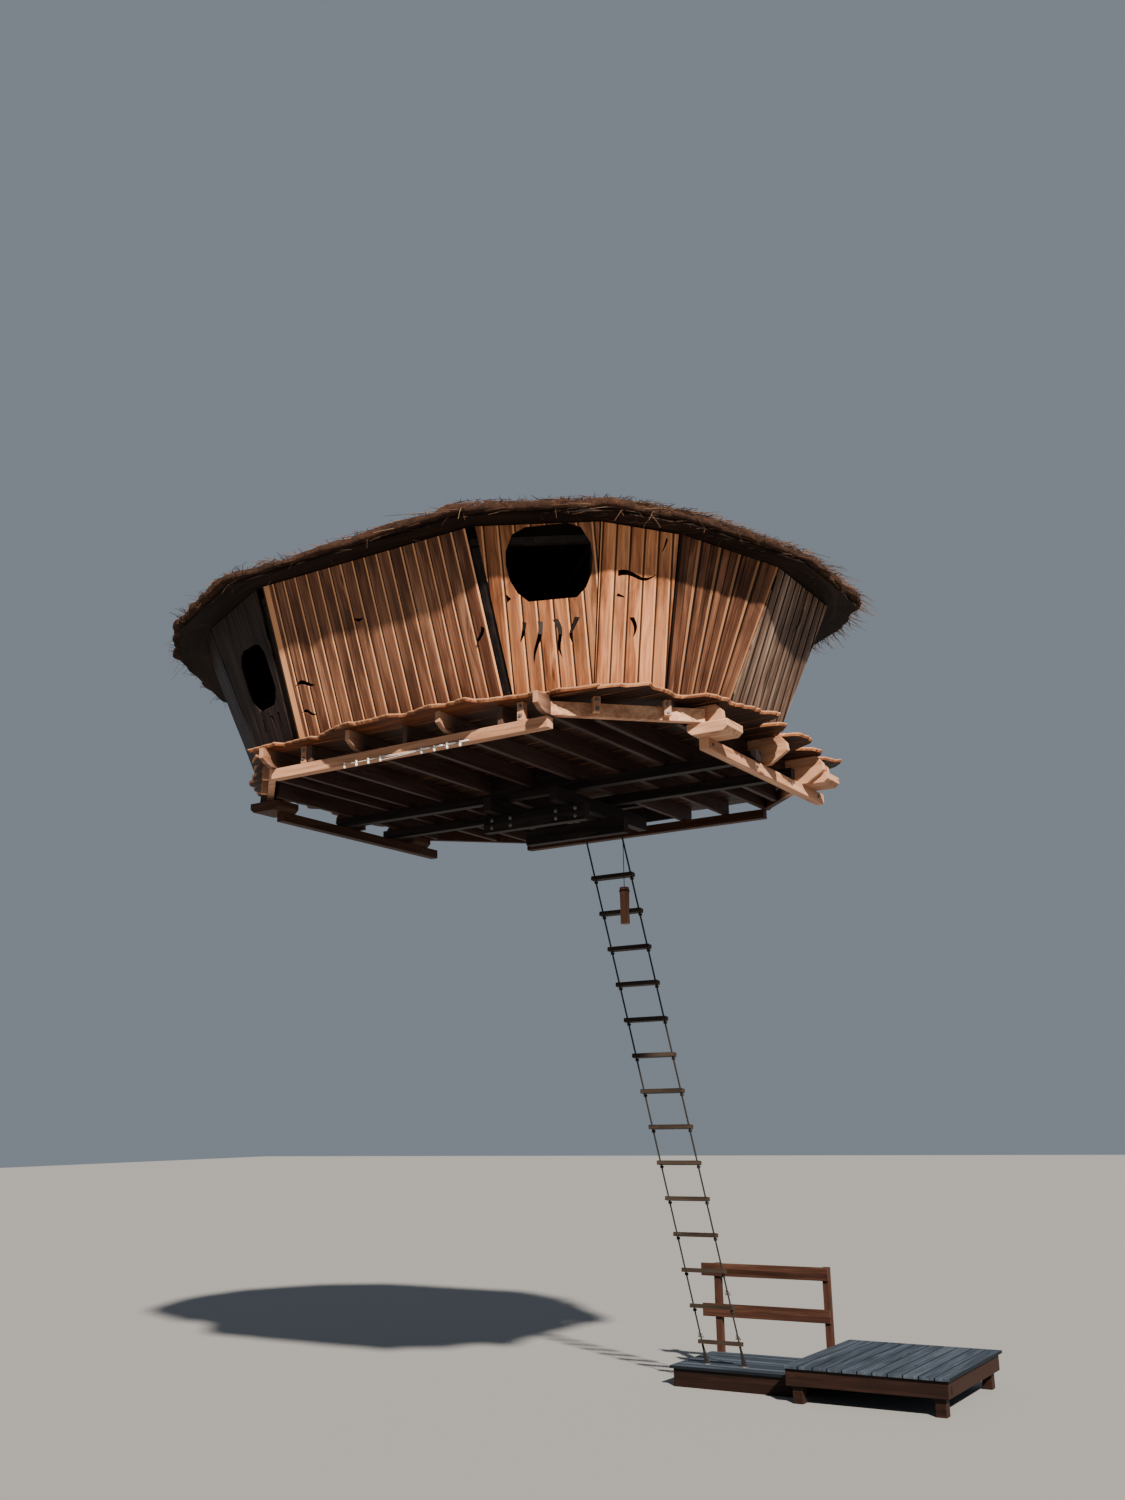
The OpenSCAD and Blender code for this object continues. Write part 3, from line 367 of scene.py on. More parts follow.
# the rails' dark stain with painted shade on top, as they stand in shade
RAIL = ((0.018, 0.007, 0.005), (0.046, 0.018, 0.011), (0.085, 0.038, 0.024))
# weathered grey planks with painted shade: the landing decks are darker and bluer, as they stand in cool shade
GREYED_AND_SHADED = ((0.016, 0.022, 0.032), (0.040, 0.052, 0.071), (0.075, 0.093, 0.118))
# painted shade: the rungs are darkened, as they hang in shade
RUNG = ((0.012, 0.008, 0.006), (0.028, 0.019, 0.014), (0.052, 0.037, 0.028))
# painted shade: a cool dark tint for timber under the deck, where the deck's shadow falls
UNDER_DECK_SHADE = (0.10, 0.11, 0.16)

# %% [markdown]
# ## Easing the edges of the timber
#
# No carpenter leaves a knife edge on a beam, and a render shows it at once: a sharp box has no highlight on
# its corners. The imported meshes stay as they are, so each is copied, its loose triangles are merged, flat
# faces are dissolved into whole ones, and a Bevel of a few millimetres eases the corners. The copy then
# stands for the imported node.

# %% Ease the edges
ROOT = "root"
SLOTS = {part["node"]: part["material_slot"] for part in frame["record"]["subparts"]}
EASE, EASE_ANGLE, SAME_PLACE, SAME_PLANE = 0.004, 0.5, 2e-5, 0.02


def place_piece(name, mesh, material, slot, *replaced):
    """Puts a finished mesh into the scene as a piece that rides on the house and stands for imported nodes."""
    piece = into_scene(name, mesh)
    wear(piece, material)
    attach(piece, ROOT)
    if replaced:
        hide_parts(*replaced)
    print(name, len(mesh.polygons), "faces")
    return piece


def eased(name, material):
    """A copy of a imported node: its triangles are joined into whole faces, and a bevel eases its edges."""
    mesh = nodes[name].data.copy()
    work = bmesh.new()
    work.from_mesh(mesh)
    bmesh.ops.remove_doubles(work, verts=work.verts, dist=SAME_PLACE)
    bmesh.ops.dissolve_limit(work, angle_limit=SAME_PLANE, verts=work.verts, edges=work.edges)
    work.to_mesh(mesh)
    work.free()
    mesh.shade_flat()
    piece = place_piece(name + "_eased", mesh, material, SLOTS[name], name)
    bevel = piece.modifiers.new("ease", "BEVEL")
    bevel.width, bevel.segments, bevel.limit_method, bevel.angle_limit = EASE, 2, "ANGLE", EASE_ANGLE
    bevel.use_clamp_overlap, bevel.harden_normals = True, False


# %% Dress the beams
LEVEL, SHAFT_Y = 0.205, 0.315
PLATFORM_FRONT, PLATFORM_BACK = 2.268, 1.820
FRONT_RIM_Y = SHAFT_Y - PLATFORM_FRONT
# painted shade under the deck: the front rim darkens towards its back, and the joists darken from their ends
# inwards
BEHIND_RIM_SHADE = ((0, 1, 0), FRONT_RIM_Y + 0.05, FRONT_RIM_Y + 0.16, UNDER_DECK_SHADE)
UNDER_EDGE_SHADE = ((0, 1, 0), FRONT_RIM_Y - 0.30, FRONT_RIM_Y + 0.06, UNDER_DECK_SHADE)
# painted shade: the timber darkens towards the far left and back, the sides that stand in shade
FAR_LEFT_SHADE = ((-0.6, 0.8, 0), 0.15, 0.45, (0.10, 0.085, 0.08))
LOW_PLANKS = dict(knots=0.6, ends=False, first=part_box("low_deck")[0][1])
HIGH_PLANKS = dict(knots=0.6, ends=False, first=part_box("high_deck")[0][0])
# a finish, its grain, tones and size of a lot, what else it needs, and the nodes that wear it
BEAMS = (
    ("fresh_timber_y", "y", FRESH, 0.4, {}, "rim_right"),
    ("front_rim_timber", "x", FRESH, 0.4, {"deep": BEHIND_RIM_SHADE}, "rim_front"),
    ("joist_timber_y", "y", FRESH, 0.4, {"deep": UNDER_EDGE_SHADE}, "joists"),
    ("far_timber_x", "x", FRESH, 0.5, {"deep": FAR_LEFT_SHADE}, "rim_back slant_rims corner_blocks outriggers"),
    ("far_timber_y", "y", FRESH, 0.4, {"deep": FAR_LEFT_SHADE}, "rim_left"),
    ("shaded_timber_x", "x", SHADED, 0.5, {},
     "clamp_front clamp_back bearer_front bearer_back hatch_frame ladder_bar"),
    ("shaded_timber_y", "y", SHADED, 0.4, {}, "cross_beams"),
    ("foot_timber_z", "z", FRESH, 0.3, {}, "stud_feet"),
    ("rung_timber_x", "x", RUNG, 0.36, {"depth": 0.0025}, "ladder_rungs"),
    ("stained_timber_x", "x", STAINED_AND_SHADED, 0.21, {}, "landing_frame"),
    ("rail_timber_z", "z", RAIL, 0.3, {}, "rail_posts"),
    ("rail_timber_x", "x", RAIL, 0.21, {}, "rail_boards"),
    ("grey_planks_x", "x", GREYED_AND_SHADED, 0.1213, LOW_PLANKS, "low_deck"),
    ("grey_planks_y", "y", GREYED_AND_SHADED, 0.1432, HIGH_PLANKS, "high_deck"))

for name, axis, tones, lot_size, how, beams in BEAMS:
    material = timber(name, axis, tones, lot_size, **how)
    for beam in beams.split():
        eased(beam, material)
# painted shade: the studs, plates, rafters and ring inside the cabin get near-black tones, so the openings
# look dark
shaded_stud_timber = timber("stud_timber_z", "z", SHADED, 0.3, ends=False)
for name in ("corner_studs", "top_plates", "rafters", "roof_ring"):
    wear(nodes[name], shaded_stud_timber)

# %% [markdown]
# ## The cabin's boards
#
# The sixteen walls lean outwards, so the boards run up a slope that differs from wall to wall. A board's
# place is found in the shader: the distance along the wall's foot gives the number of the board, and the
# distance up the slope gives the place along its grain. Two corner walls are fanned: their boards spread as
# they rise, so there the number comes from the share of the way between the two corner lines at that
# height. Some nodes hold two or three walls, and a slanting plane through the corner between two walls says
# which one a point is on.

# %% Plan of the cabin
FLOOR_Z = LEVEL + 0.268
LONG_SIDE, END_SIDE = 2.222, 0.994
CORNER_WIDTHS, CORNER_TURNS = (0.670, 0.565, 0.560), (20.0, 41.0, 52.0)
CABIN_MIDDLE = np.array([-0.142, SHAFT_Y - 0.670])
LEAN, END_LEAN, FAN_BACK = 0.415, 0.39, 0.13
WALL_HIGH, WALL_LOW, TOP_CURVE = 1.3, 1.12, 1.4
BOARD, BOARD_THICK, LIT_FLANK, DARK_JOINT = 0.125, 0.022, 0.014, 0.015
WALLS = 16


def cabin_plan():
    """The sixteen floor corners: one quarter worked out wall by wall, then mirrored both ways."""
    steps = [width * np.array([math.cos(math.radians(a)), math.sin(math.radians(a))])
             for width, a in zip(CORNER_WIDTHS, CORNER_TURNS)]
    quarter = np.cumsum([[LONG_SIDE / 2, 0.0], *steps], axis=0)
    quarter[:, 1] -= quarter[-1, 1] + END_SIDE / 2
    back = quarter[::-1] * [1, -1]
    return CABIN_MIDDLE + np.concatenate([quarter, back, -quarter, -back])


plan = cabin_plan()
edges = np.roll(plan, -1, axis=0) - plan
lengths = np.linalg.norm(edges, axis=1)
edges = edges / lengths[:, None]
outward = np.stack([edges[:, 1], -edges[:, 0]], 1)
before = np.roll(outward, 1, axis=0)
leans = np.full(WALLS, LEAN)
leans[[0, 6, 8, 14]] = LEAN * math.cos(math.radians(CORNER_TURNS[0]))
leans[[3, 11]] = END_LEAN
lean_before = np.roll(leans, 1)
past_front = np.abs(plan[:, 0] - CABIN_MIDDLE[0]) - LONG_SIDE / 2
wall_tops = WALL_HIGH - (WALL_HIGH - WALL_LOW) * np.clip(past_front / past_front[3], 0, None) ** TOP_CURVE
# how far each corner moves in plan for a metre of height: along both walls that meet in it
turn_sine = before[:, 0] * outward[:, 1] - before[:, 1] * outward[:, 0]
leads = np.stack([lean_before * outward[:, 1] - leans * before[:, 1],
                  before[:, 0] * leans - outward[:, 0] * lean_before], 1) / turn_sine[:, None]
leads[3], leads[12] = (END_LEAN, FAN_BACK), (-END_LEAN, FAN_BACK)
mitres = before + outward
mitres /= (mitres * outward).sum(1)[:, None]
half_turns = np.arccos(np.clip((before * outward).sum(1), -1, 1)) / 2
seams = np.full(WALLS, 0.014)
seams[[0, 15]] = 0.090
keeps = np.maximum(seams / 2, BOARD_THICK * math.sqrt(1 + LEAN ** 2) * np.tan(half_turns) + 0.0013)
clear = lengths - keeps - np.roll(keeps, -1)
pitches = clear / np.ceil(clear / BOARD - 0.15)
print("walls", np.round(lengths, 2), "pitches", np.round(pitches, 3))

# %% Places on a wall
def flat_wall(finish, place, wall):
    """Distance along the foot from the first board, up the slope, and out of the face of a flat wall."""
    foot = np.append(plan[wall] + edges[wall] * keeps[wall], FLOOR_Z)
    cosine = 1 / math.sqrt(1 + leans[wall] ** 2)
    slope = np.append(outward[wall] * leans[wall] * cosine, cosine)
    face = np.append(outward[wall] * cosine, -leans[wall] * cosine)
    return [finish.dot(place, direction, foot) for direction in (np.append(edges[wall], 0), slope, face)]


def fanned_wall(finish, place, wall):
    """The same for a fanned wall. Both its corners move with the height, so the share between them counts."""
    after = (wall + 1) % WALLS
    height = finish.dot(place, (0, 0, 1), (0, 0, FLOOR_Z))
    x, y = [finish.dot(place, axis, (*plan[wall], 0)) for axis in ((1, 0, 0), (0, 1, 0))]
    x, y = x - height * leads[wall][0], y - height * leads[wall][1]
    run = [(plan[after] - plan[wall])[i] + height * (leads[after] - leads[wall])[i] for i in (0, 1)]
    width = (run[0] * run[0] + run[1] * run[1]).math("SQRT")
    u = (x * run[0] + y * run[1]) / width
    share = (u - keeps[wall]) / (width - (keeps[wall] + keeps[after]))
    return [share * clear[wall], height * math.sqrt(1 + LEAN ** 2), (x * run[1] - y * run[0]) / width]


# %% Finish of the boards
def board_finish(name, walls, tones=OILED, flank=0.8, halves=False, corner=0.0):
    """Boards of one or more walls; u is counted from the wall's first board, v up its slope.

    flank says how strongly the painted highlight on each board's flank shows. With halves, a bead runs down
    the middle of each board, and its two halves differ in tone. Up to the distance corner the first board is
    painted pale as well, a painted highlight as if the sun caught it."""
    finish = Finish(name)
    place = finish.place()
    best = None
    for wall in walls:
        here = (fanned_wall if wall in (2, 12) else flat_wall)(finish, place, wall)
        here += [wall * 40.0, pitches[wall]]
        if best is None:
            best = here
        else:
            line = np.append(leads[wall], 1.0)
            normal = np.cross(np.append(mitres[wall], 0), line)
            normal *= np.sign(normal @ np.append(edges[wall], 0))
            beyond = finish.dot(place, normal, (*plan[wall], FLOOR_Z)).math("GREATER_THAN", 0.0)
            best = [beyond * new + (1.0 - beyond) * old for new, old in zip(here, best)]
    u, v, depth, number, pitch = best
    board = (u / pitch).math("FLOOR")
    lot = board * 3.7 + number + 11.0
    inside = u - board * pitch
    if halves:
        lot = lot + (inside - pitch * 0.5).math("GREATER_THAN", 0.0) * 1.9
    # the strong stains on the walls are partly the wood's own stains and partly painted mottled leaf shade
    tone, height = wood_layers(finish, v, u, depth, lot, tones, weather=0.7)
    if halves:
        bead = 1.0 - finish.ease((inside - pitch * 0.5).math("ABSOLUTE"), 0.002, 0.004)
        tone = finish.mix(bead * 0.6, tone, shade_of(tones[0], 0.5))
        height = height - bead * 0.8
    # painted highlight: the last strip of each board before the next joint, its flank, is painted pale as if
    # the sun caught it
    flank_highlight = finish.ease(inside - pitch, -LIT_FLANK - 0.002, -LIT_FLANK + 0.002)
    if corner:
        flank_highlight = flank_highlight.math("MAXIMUM", (1.0 - finish.ease(u, corner - 0.003, corner)) * 0.75)
    tone = finish.mix(flank_highlight * flank, tone, shade_of(tones[2], 1.5) if tones == DEEP_SHADE_PAINTED else SUNLIT_PAINTED[2])
    # a dark line at each joint: the gap itself, with the groove's shadow painted into it
    line = 1.0 - finish.ease(inside, DARK_JOINT - 0.003, DARK_JOINT + 0.001)
    tone = finish.mix(line * 0.92, tone, shade_of(tones[0], 0.12))
    damp = (1.0 - finish.ease(v, 0.0, 0.35)) * finish.noise(finish.join(u * 6.0, v * 2.0, 0.0), 1.0)
    tone = finish.mix(damp * 0.5, tone, shade_of(tones[0], 0.5))
    # painted shade: the inner faces of the boards are tinted dark, as the cabin's inside stands in shade
    inner_face_shade = 1.0 - finish.ease(depth, -0.016, -0.011)
    tone = finish.tint(inner_face_shade, tone, (0.13, 0.10, 0.09))
    return finish.surface(tone, 0.55 - height * 0.1, finish.bump(height, 0.0014))


for name, *how in (
        ("front_wall", [15], RAKED_SHADE_PAINTED, 0.95, False, 0.075), ("window_wall", [0], OILED),
        ("slit_wall", [1], SUNLIT_PAINTED, 0.6), ("corner_wall", [2], HALF_SHADE_PAINTED, 0.3, True),
        ("right_end_wall", [3], WEATHERED_AND_SHADED, 0.35, True), ("right_back_walls", [4, 5, 6], WEATHERED_AND_SHADED, 0.5),
        ("back_wall", [7], RAKED_SHADE_PAINTED), ("left_back_walls", [8, 9, 10], HALF_SHADE_PAINTED),
        ("left_end_wall", [11], HALF_SHADE_PAINTED), ("left_corner_walls", [12, 13], DEEP_SHADE_PAINTED),
        ("left_window_wall", [14], DEEP_SHADE_PAINTED)):
    wear(nodes[name], board_finish(name + "_boards", *how))
print("finishes so far:", len(bpy.data.materials))

# %% [markdown]
# ## Surfaces from arrays
#
# Most of what is new below, from twigs to bolts, is one of two surfaces. A tube is a closed section
# carried along a path, with a cap at each end. A wheel is a section carried round and back to its start,
# which needs no caps. Both are worked out as whole arrays: points[tube, ring, side], so thousands of twigs
# cost one call.

# %% Tubes and wheels
def make_mesh(name, points, *face_sets, smooth=True):
    """A mesh from an array of points and arrays of faces, each with its own number of corners a face."""
    mesh = bpy.data.meshes.new(name)
    corners = np.concatenate([faces.ravel() for faces in face_sets])
    sizes = np.concatenate([np.full(len(faces), faces.shape[1]) for faces in face_sets])
    mesh.vertices.add(len(points))
    mesh.vertices.foreach_set("co", np.ascontiguousarray(points, dtype=float).ravel())
    mesh.loops.add(len(corners))
    mesh.loops.foreach_set("vertex_index", corners)
    mesh.polygons.add(len(sizes))
    mesh.polygons.foreach_set("loop_start", np.cumsum(sizes) - sizes)
    mesh.update(calc_edges=True)
    mesh.polygons.foreach_set("use_smooth", np.full(len(sizes), smooth))
    return mesh


def tubes(name, points, smooth=True, capped=True, luck=None):
    """Tubes from points[tube, ring, side]. The sides run anticlockwise seen from the last ring. luck is one
    value a tube, kept as the attribute lot."""
    count, rings, sides = points.shape[:3]
    tube = np.arange(count)[:, None, None] * rings * sides
    ring = np.arange(rings - 1 if capped else rings)[None, :, None] * sides
    side, after = np.arange(sides)[None, None, :], (np.arange(sides) + 1)[None, None, :] % sides
    above = (ring + sides) % (rings * sides)
    quads = np.stack([tube + ring + side, tube + ring + after, tube + above + after, tube + above + side], -1)
    faces = [quads.reshape(-1, 4)]
    if capped:
        caps = tube[:, 0] + np.arange(sides)[None, :]
        faces += [caps[:, ::-1], caps + (rings - 1) * sides]
    mesh = make_mesh(name, points.reshape(-1, 3), *faces, smooth=smooth)
    if luck is not None:
        mesh.attributes.new("lot", "FLOAT", "POINT").data.foreach_set("value", np.repeat(luck, rings * sides))
    return mesh


def place_tubes(name, points, *how, **shape):
    """Tubes as a piece, where how is its material, its slot (not used) and the nodes that it stands for."""
    place_piece(name, tubes(name, np.asarray(points), **shape), *how)


# %% Paths, circles and waves
UP = np.array([0, 0, 1.0])


def circle(sides):
    """Angles spread evenly round a circle."""
    return np.arange(sides) * 2 * np.pi / sides


def around(first, second, angle):
    """Directions that turn from first towards second: cos a x first + sin a x second."""
    return np.cos(angle)[:, None] * first[..., None, :] + np.sin(angle)[:, None] * second[..., None, :]


def frames(paths):
    """Two directions across each point of the paths[path, point], so that tangent x first = second."""
    tangent = unit(np.gradient(paths, axis=1))
    steady = np.abs(tangent[..., 2:]).max() < 0.99
    first = unit(np.cross(UP if steady else np.array([1.0, 0.3, 0.1]), tangent))
    return first, np.cross(tangent, first)


def round_tubes(paths, radii, sides, spin=0.0):
    """Points of round tubes: path + radius x (cos a x first + sin a x second), radii[path, point]."""
    radii = np.broadcast_to(radii, paths.shape[:2])[..., None, None]
    return paths[:, :, None] + radii * around(*frames(paths), circle(sides) + spin)


def waves(points, size, seed, count=7):
    """Smooth noise, mostly from -1 to 1: a sum of sines in random directions, with waves about size long."""
    dice = np.random.default_rng(seed)
    directions = dice.normal(size=(count, points.shape[-1])) * 2.2 / size
    shifts = dice.uniform(0, 2 * np.pi, count)
    return np.sin(points @ directions.T + shifts).sum(-1) / math.sqrt(count * 0.9)


def layered_waves(points, *layers):
    """Waves of several sizes on top of one another, each layer given as (height, size, seed)."""
    return sum(height * waves(points, size, seed) for height, size, seed in layers)


# %% [markdown]
# ## The deck boards
#
# The deck is made of slabs sawn straight through, so each board keeps its natural outline: its edges
# wander, and at both ends it runs out in a blunt tip. The board along the front was scalloped with a knife
# every few centimetres. Each board is a grid in plan, with a top, a bottom and a rim that is undercut as
# bark edges are. Boards at the round shaft or the ladder's hatch are cut in two, and their cut ends follow
# the circle or the hatch.

# %% Outline of the deck
DECK_THICK, DECK_PITCH, DECK_FIRST = 0.028, 0.212, -2.458
PLATFORM_X, PLATFORM_HALF, RIM_HALF, DECK_OUT = -0.060, 2.285, 1.415, 0.190
DECK_MIDDLE, WIDER_RIGHT, WIDER_LEFT = -0.225, 0.06, 0.13
SHAFT_HOLE, HATCH = 0.400, (-0.428, 0.392, 0.965, 1.565)
DECK_ROWS, DECK_SPLIT = 21, 12
ALONG, ACROSS = 190, 13
UNDERCUT, SMALLEST_CUT = 0.014, 0.03


def deck_half(y, side):
    """Half the deck's length at a distance y from the shaft: the platform's eight sides, a step wider."""
    inward = np.where(y < DECK_MIDDLE, y + PLATFORM_FRONT, PLATFORM_BACK - y)
    return np.minimum(PLATFORM_HALF + DECK_OUT + (WIDER_RIGHT if side > 0 else WIDER_LEFT),
                      RIM_HALF + DECK_OUT * 0.9 + np.maximum(0, inward) * 1.05)


# the wavy edges from the shaft's middle: (x, y) of tips and notches in front, and (y, x) on the right
FRONT_EDGE = np.array([
    (-2.2, -2.40), (-1.55, -2.40), (-1.29, -2.435), (-1.24, -2.375), (-1.12, -2.395), (-0.92, -2.41),
    (-0.88, -2.37), (-0.60, -2.49), (-0.47, -2.54), (-0.37, -2.55), (-0.34, -2.51), (-0.16, -2.505),
    (0.02, -2.54), (0.06, -2.52), (0.11, -2.475), (0.28, -2.505), (0.45, -2.55), (0.56, -2.50),
    (0.78, -2.545), (0.82, -2.45), (0.94, -2.41), (1.10, -2.375), (1.21, -2.35), (1.30, -2.37),
    (1.36, -2.30), (1.52, -2.34), (1.60, -2.33), (2.0, -2.30)])
RIGHT_EDGE = np.array([
    (-2.42, 1.50), (-2.32, 1.63), (-2.26, 1.83), (-2.22, 1.76), (-2.17, 1.94), (-2.12, 1.96), (-2.05, 2.14),
    (-1.95, 2.11), (-1.80, 2.16), (-1.66, 2.16), (-1.62, 2.19), (-1.58, 2.36), (-1.48, 2.40), (-1.33, 2.44),
    (-1.24, 2.42), (-1.11, 2.475), (-0.96, 2.53), (-0.88, 2.515), (-0.79, 2.595), (-0.74, 2.63),
    (-0.68, 2.58), (-0.60, 2.39), (-0.54, 2.36), (-0.47, 2.50), (-0.38, 2.535), (-0.28, 2.455),
    (-0.19, 2.31), (-0.15, 2.30), (-0.11, 2.50), (0.0, 2.535), (0.11, 2.535), (0.19, 2.50), (0.29, 2.38),
    (0.33, 2.31), (0.43, 2.42), (0.52, 2.46), (0.60, 2.455), (0.68, 2.39), (0.73, 2.27), (0.80, 2.39),
    (0.94, 2.44)])


# %% Plan of a board
def seam_line(row, x):
    """The wandering line between two boards, with two long waves and a short one."""
    long_wave = np.sin(np.radians(210 * x + row * 83)) + 0.55 * np.sin(np.radians(530 * x + row * 41))
    short = waves(np.stack([x, np.full_like(x, row * 3.7)], -1), 0.16, 5)
    return DECK_FIRST + row * DECK_PITCH + 0.016 * long_wave + 0.0035 * short


def natural_end(row, side, inset):
    """x of a board's own end at each share t across it. On the right it follows the table, while that lasts.
    Elsewhere it is the outline, a ragged step, and a tip whose length grows with |2t - 1|^2.4."""
    def end(t):
        y = DECK_FIRST + (row + t) * DECK_PITCH
        half = deck_half(y, side)
        straight_side = half.max() > PLATFORM_HALF + 0.1
        tip = (0.055 + 0.030 * math.sin(row * 2.3 + side)) if straight_side else 0.022
        lopsided = np.abs(2 * (t - 0.10 * math.sin(row * 5.1 + side * 2)) - 1) ** 2.4
        step = 0.046 * math.sin(row * 2.39 + side) + 0.026 * math.sin(row * 1.24 + side * 0.4)
        ragged = half + 0.030 + step * (1.0 if straight_side else 0.55)
        x = PLATFORM_X + side * (ragged - tip * lopsided)
        if side > 0:
            table = np.interp(y, RIGHT_EDGE[:, 0], RIGHT_EDGE[:, 1]) - 0.012 * np.abs(2 * t - 1) ** 6
            x = np.where(y < RIGHT_EDGE[-1, 0], table, x)
        return x + side * (0.007 * waves(y[:, None], 0.06, row * 2 + side + 9) - inset)
    return end


def slab(row, start, stop, inset=0.0, low=0.0, high=1.0):
    """The plan of one board as a grid: x runs between two ends given over the shares t, and y between the two
    seams. The inset draws all sides in, most of it on natural edges: this is the plan of the underside."""
    t = low + (high - low) * (0.5 - 0.5 * np.cos(np.linspace(0, np.pi, ACROSS)))
    s = (1 - np.cos(np.linspace(0, np.pi, ALONG))) / 2 * 0.3 + np.linspace(0, 1, ALONG) * 0.7
    x = start(t) + (stop(t) - start(t)) * s[:, None]
    back, front = seam_line(row + 1, x) - 0.003 - 0.3 * inset, seam_line(row, x) + 0.003 + 0.3 * inset
    if row == 0:
        knife = ((x + 0.02 * np.sin(x * 9.0)) / 0.094) % 1.0
        front = np.interp(x, FRONT_EDGE[:, 0], FRONT_EDGE[:, 1]) + 0.010 * knife ** 3 + inset
        front += 0.005 * waves(x[..., None], 0.09, 3)
    return np.stack([x, front + (back - front) * t + SHAFT_Y], -1)


def cut_at(x):
    """A straight end: the same x at every share."""
    return lambda t: np.full_like(t, x)


def shaft_cut(y_low, side):
    """An end that follows the round hole: x = side x sqrt(R^2 - y^2)."""
    return lambda t: side * np.sqrt(np.maximum(SHAFT_HOLE ** 2 - (y_low + t * DECK_PITCH) ** 2, 0.002 ** 2))


def row_slabs(row, inset):
    """All boards of one row, with cuts for the shaft and the hatch where it meets them."""
    left, right = natural_end(row, -1, inset), natural_end(row, 1, inset)
    hatch_left, hatch_right = cut_at(HATCH[0]), cut_at(HATCH[1])
    y_low, y_high = DECK_FIRST + row * DECK_PITCH, DECK_FIRST + (row + 1) * DECK_PITCH
    if y_high > -SHAFT_HOLE + SMALLEST_CUT and y_low < SHAFT_HOLE - SMALLEST_CUT:
        return [slab(row, left, shaft_cut(y_low, -1), inset), slab(row, shaft_cut(y_low, 1), right, inset)]
    if y_high > HATCH[2] and y_low < HATCH[3]:
        found = [slab(row, left, hatch_left, inset), slab(row, hatch_right, right, inset)]
        spare = (HATCH[2] - y_low) / DECK_PITCH
        return found + ([slab(row, hatch_left, hatch_right, inset, high=spare)] if spare > 0.05 else [])
    return [slab(row, left, right, inset)]


# %% Closed boards
def pillows(name, plans, under, low, high, bulge):
    """Closed boards from plan grids: a top, a bottom, and a rim of three bands. Its upper part stands out by
    the bulge, and below that it runs in to the plan of the underside."""
    count, along, across = plans.shape[:3]
    grid = np.arange(along * across).reshape(along, across)
    rim = np.concatenate([grid[:, 0], grid[-1, 1:], grid[-2::-1, -1], grid[0, -2:0:-1]])
    top, base = plans.reshape(count, -1, 2), under.reshape(count, -1, 2)
    loop = top[:, rim]
    run = np.roll(loop, -1, 1) - np.roll(loop, 1, 1)
    run /= np.maximum(np.linalg.norm(run, axis=-1, keepdims=True), 1e-9)
    pushed = loop + bulge * np.stack([run[..., 1], -run[..., 0]], -1)
    layers = [(top, high), (base, low), (pushed, low + 0.76 * (high - low)),
              (pushed * 0.45 + base[:, rim] * 0.55, low + 0.36 * (high - low))]
    points = np.concatenate([np.concatenate([layer, np.full((*layer.shape[:2], 1), z)], -1)
                             for layer, z in layers], 1)
    cell = np.stack([grid[:-1, :-1], grid[1:, :-1], grid[1:, 1:], grid[:-1, 1:]], -1).reshape(-1, 4)
    size, edge = along * across, np.arange(len(rim))
    rings = [size + rim, 2 * size + len(rim) + edge, 2 * size + edge, rim]
    bands = [np.stack([a, np.roll(a, -1), np.roll(b, -1), b], -1) for a, b in zip(rings, rings[1:])]
    faces = np.concatenate([cell, cell[:, ::-1] + size, *bands])
    faces = faces[None] + np.arange(count)[:, None, None] * points.shape[1]
    return make_mesh(name, points.reshape(-1, 3), faces.reshape(-1, 4), smooth=False)


# %% Finish the deck
SLAB_BASE, SLAB_BULGE = LEVEL + 0.2402, 0.002


def deck_finish():
    """Oiled slabs: grain along X, a bark-pale rim on the natural edges and painted shade on the underside."""
    finish = Finish("deck_slabs")
    place, first = finish.place(), (0, SHAFT_Y + DECK_FIRST, LEVEL + 0.240)
    x, y, z = [finish.dot(place, direction, first) for direction in AXES["x"]]
    row = (y / DECK_PITCH).math("FLOOR")
    tone, height = wood_layers(finish, x, y, z * 0.2, row * 5.3 + 3.0, OILED, weather=0.4)
    top = finish.ease(z, 0.0245, 0.0275)
    edge = finish.ease(z, 0.013, 0.017) * (1.0 - top)
    tone = finish.mix(edge * 0.55, tone, finish.mix(0.5, FRESH[2], OILED[2]))
    tone = finish.mix(top * 0.35, tone, (0.20, 0.135, 0.095))
    # painted shade on the underside: a lighter tint near the front edge, the dark under-deck tint from a third
    # of a metre in
    under = 1.0 - finish.ease(z, 0.0005, 0.0025)
    dark = finish.mix(finish.ease(y, 0.10, 0.32), (0.55, 0.45, 0.40), UNDER_DECK_SHADE)
    tone = finish.tint(under, tone, dark)
    return finish.surface(tone, 0.6 - height * 0.1, finish.bump(height, 0.0016))


slab_finish = deck_finish()
for name, rows in (("deck_front", range(DECK_SPLIT)), ("deck_back", range(DECK_SPLIT, DECK_ROWS))):
    plans, under = [np.stack([board for row in rows for board in row_slabs(row, inset)])
                    for inset in (0, UNDERCUT)]
    mesh = pillows(name + "_slabs", plans, under, SLAB_BASE, SLAB_BASE + DECK_THICK, SLAB_BULGE)
    place_piece(name + "_slabs", mesh, slab_finish, "deck_boards", name)

# %% [markdown]
# ## The brush roof
#
# The roof is a layer of dry heather tied down on boards. It needs two parts. The first is a lumpy closed
# body, which fills the view between the twigs: a wheel whose section runs from the roof's ring out to the
# lip, over the edge and back along the boards. The second is the twigs: about twenty-four thousand thin
# three-sided tubes, most of which lie roughly down the slope. Each is bent by its own arc, and each has its
# own colour through the attribute lot.

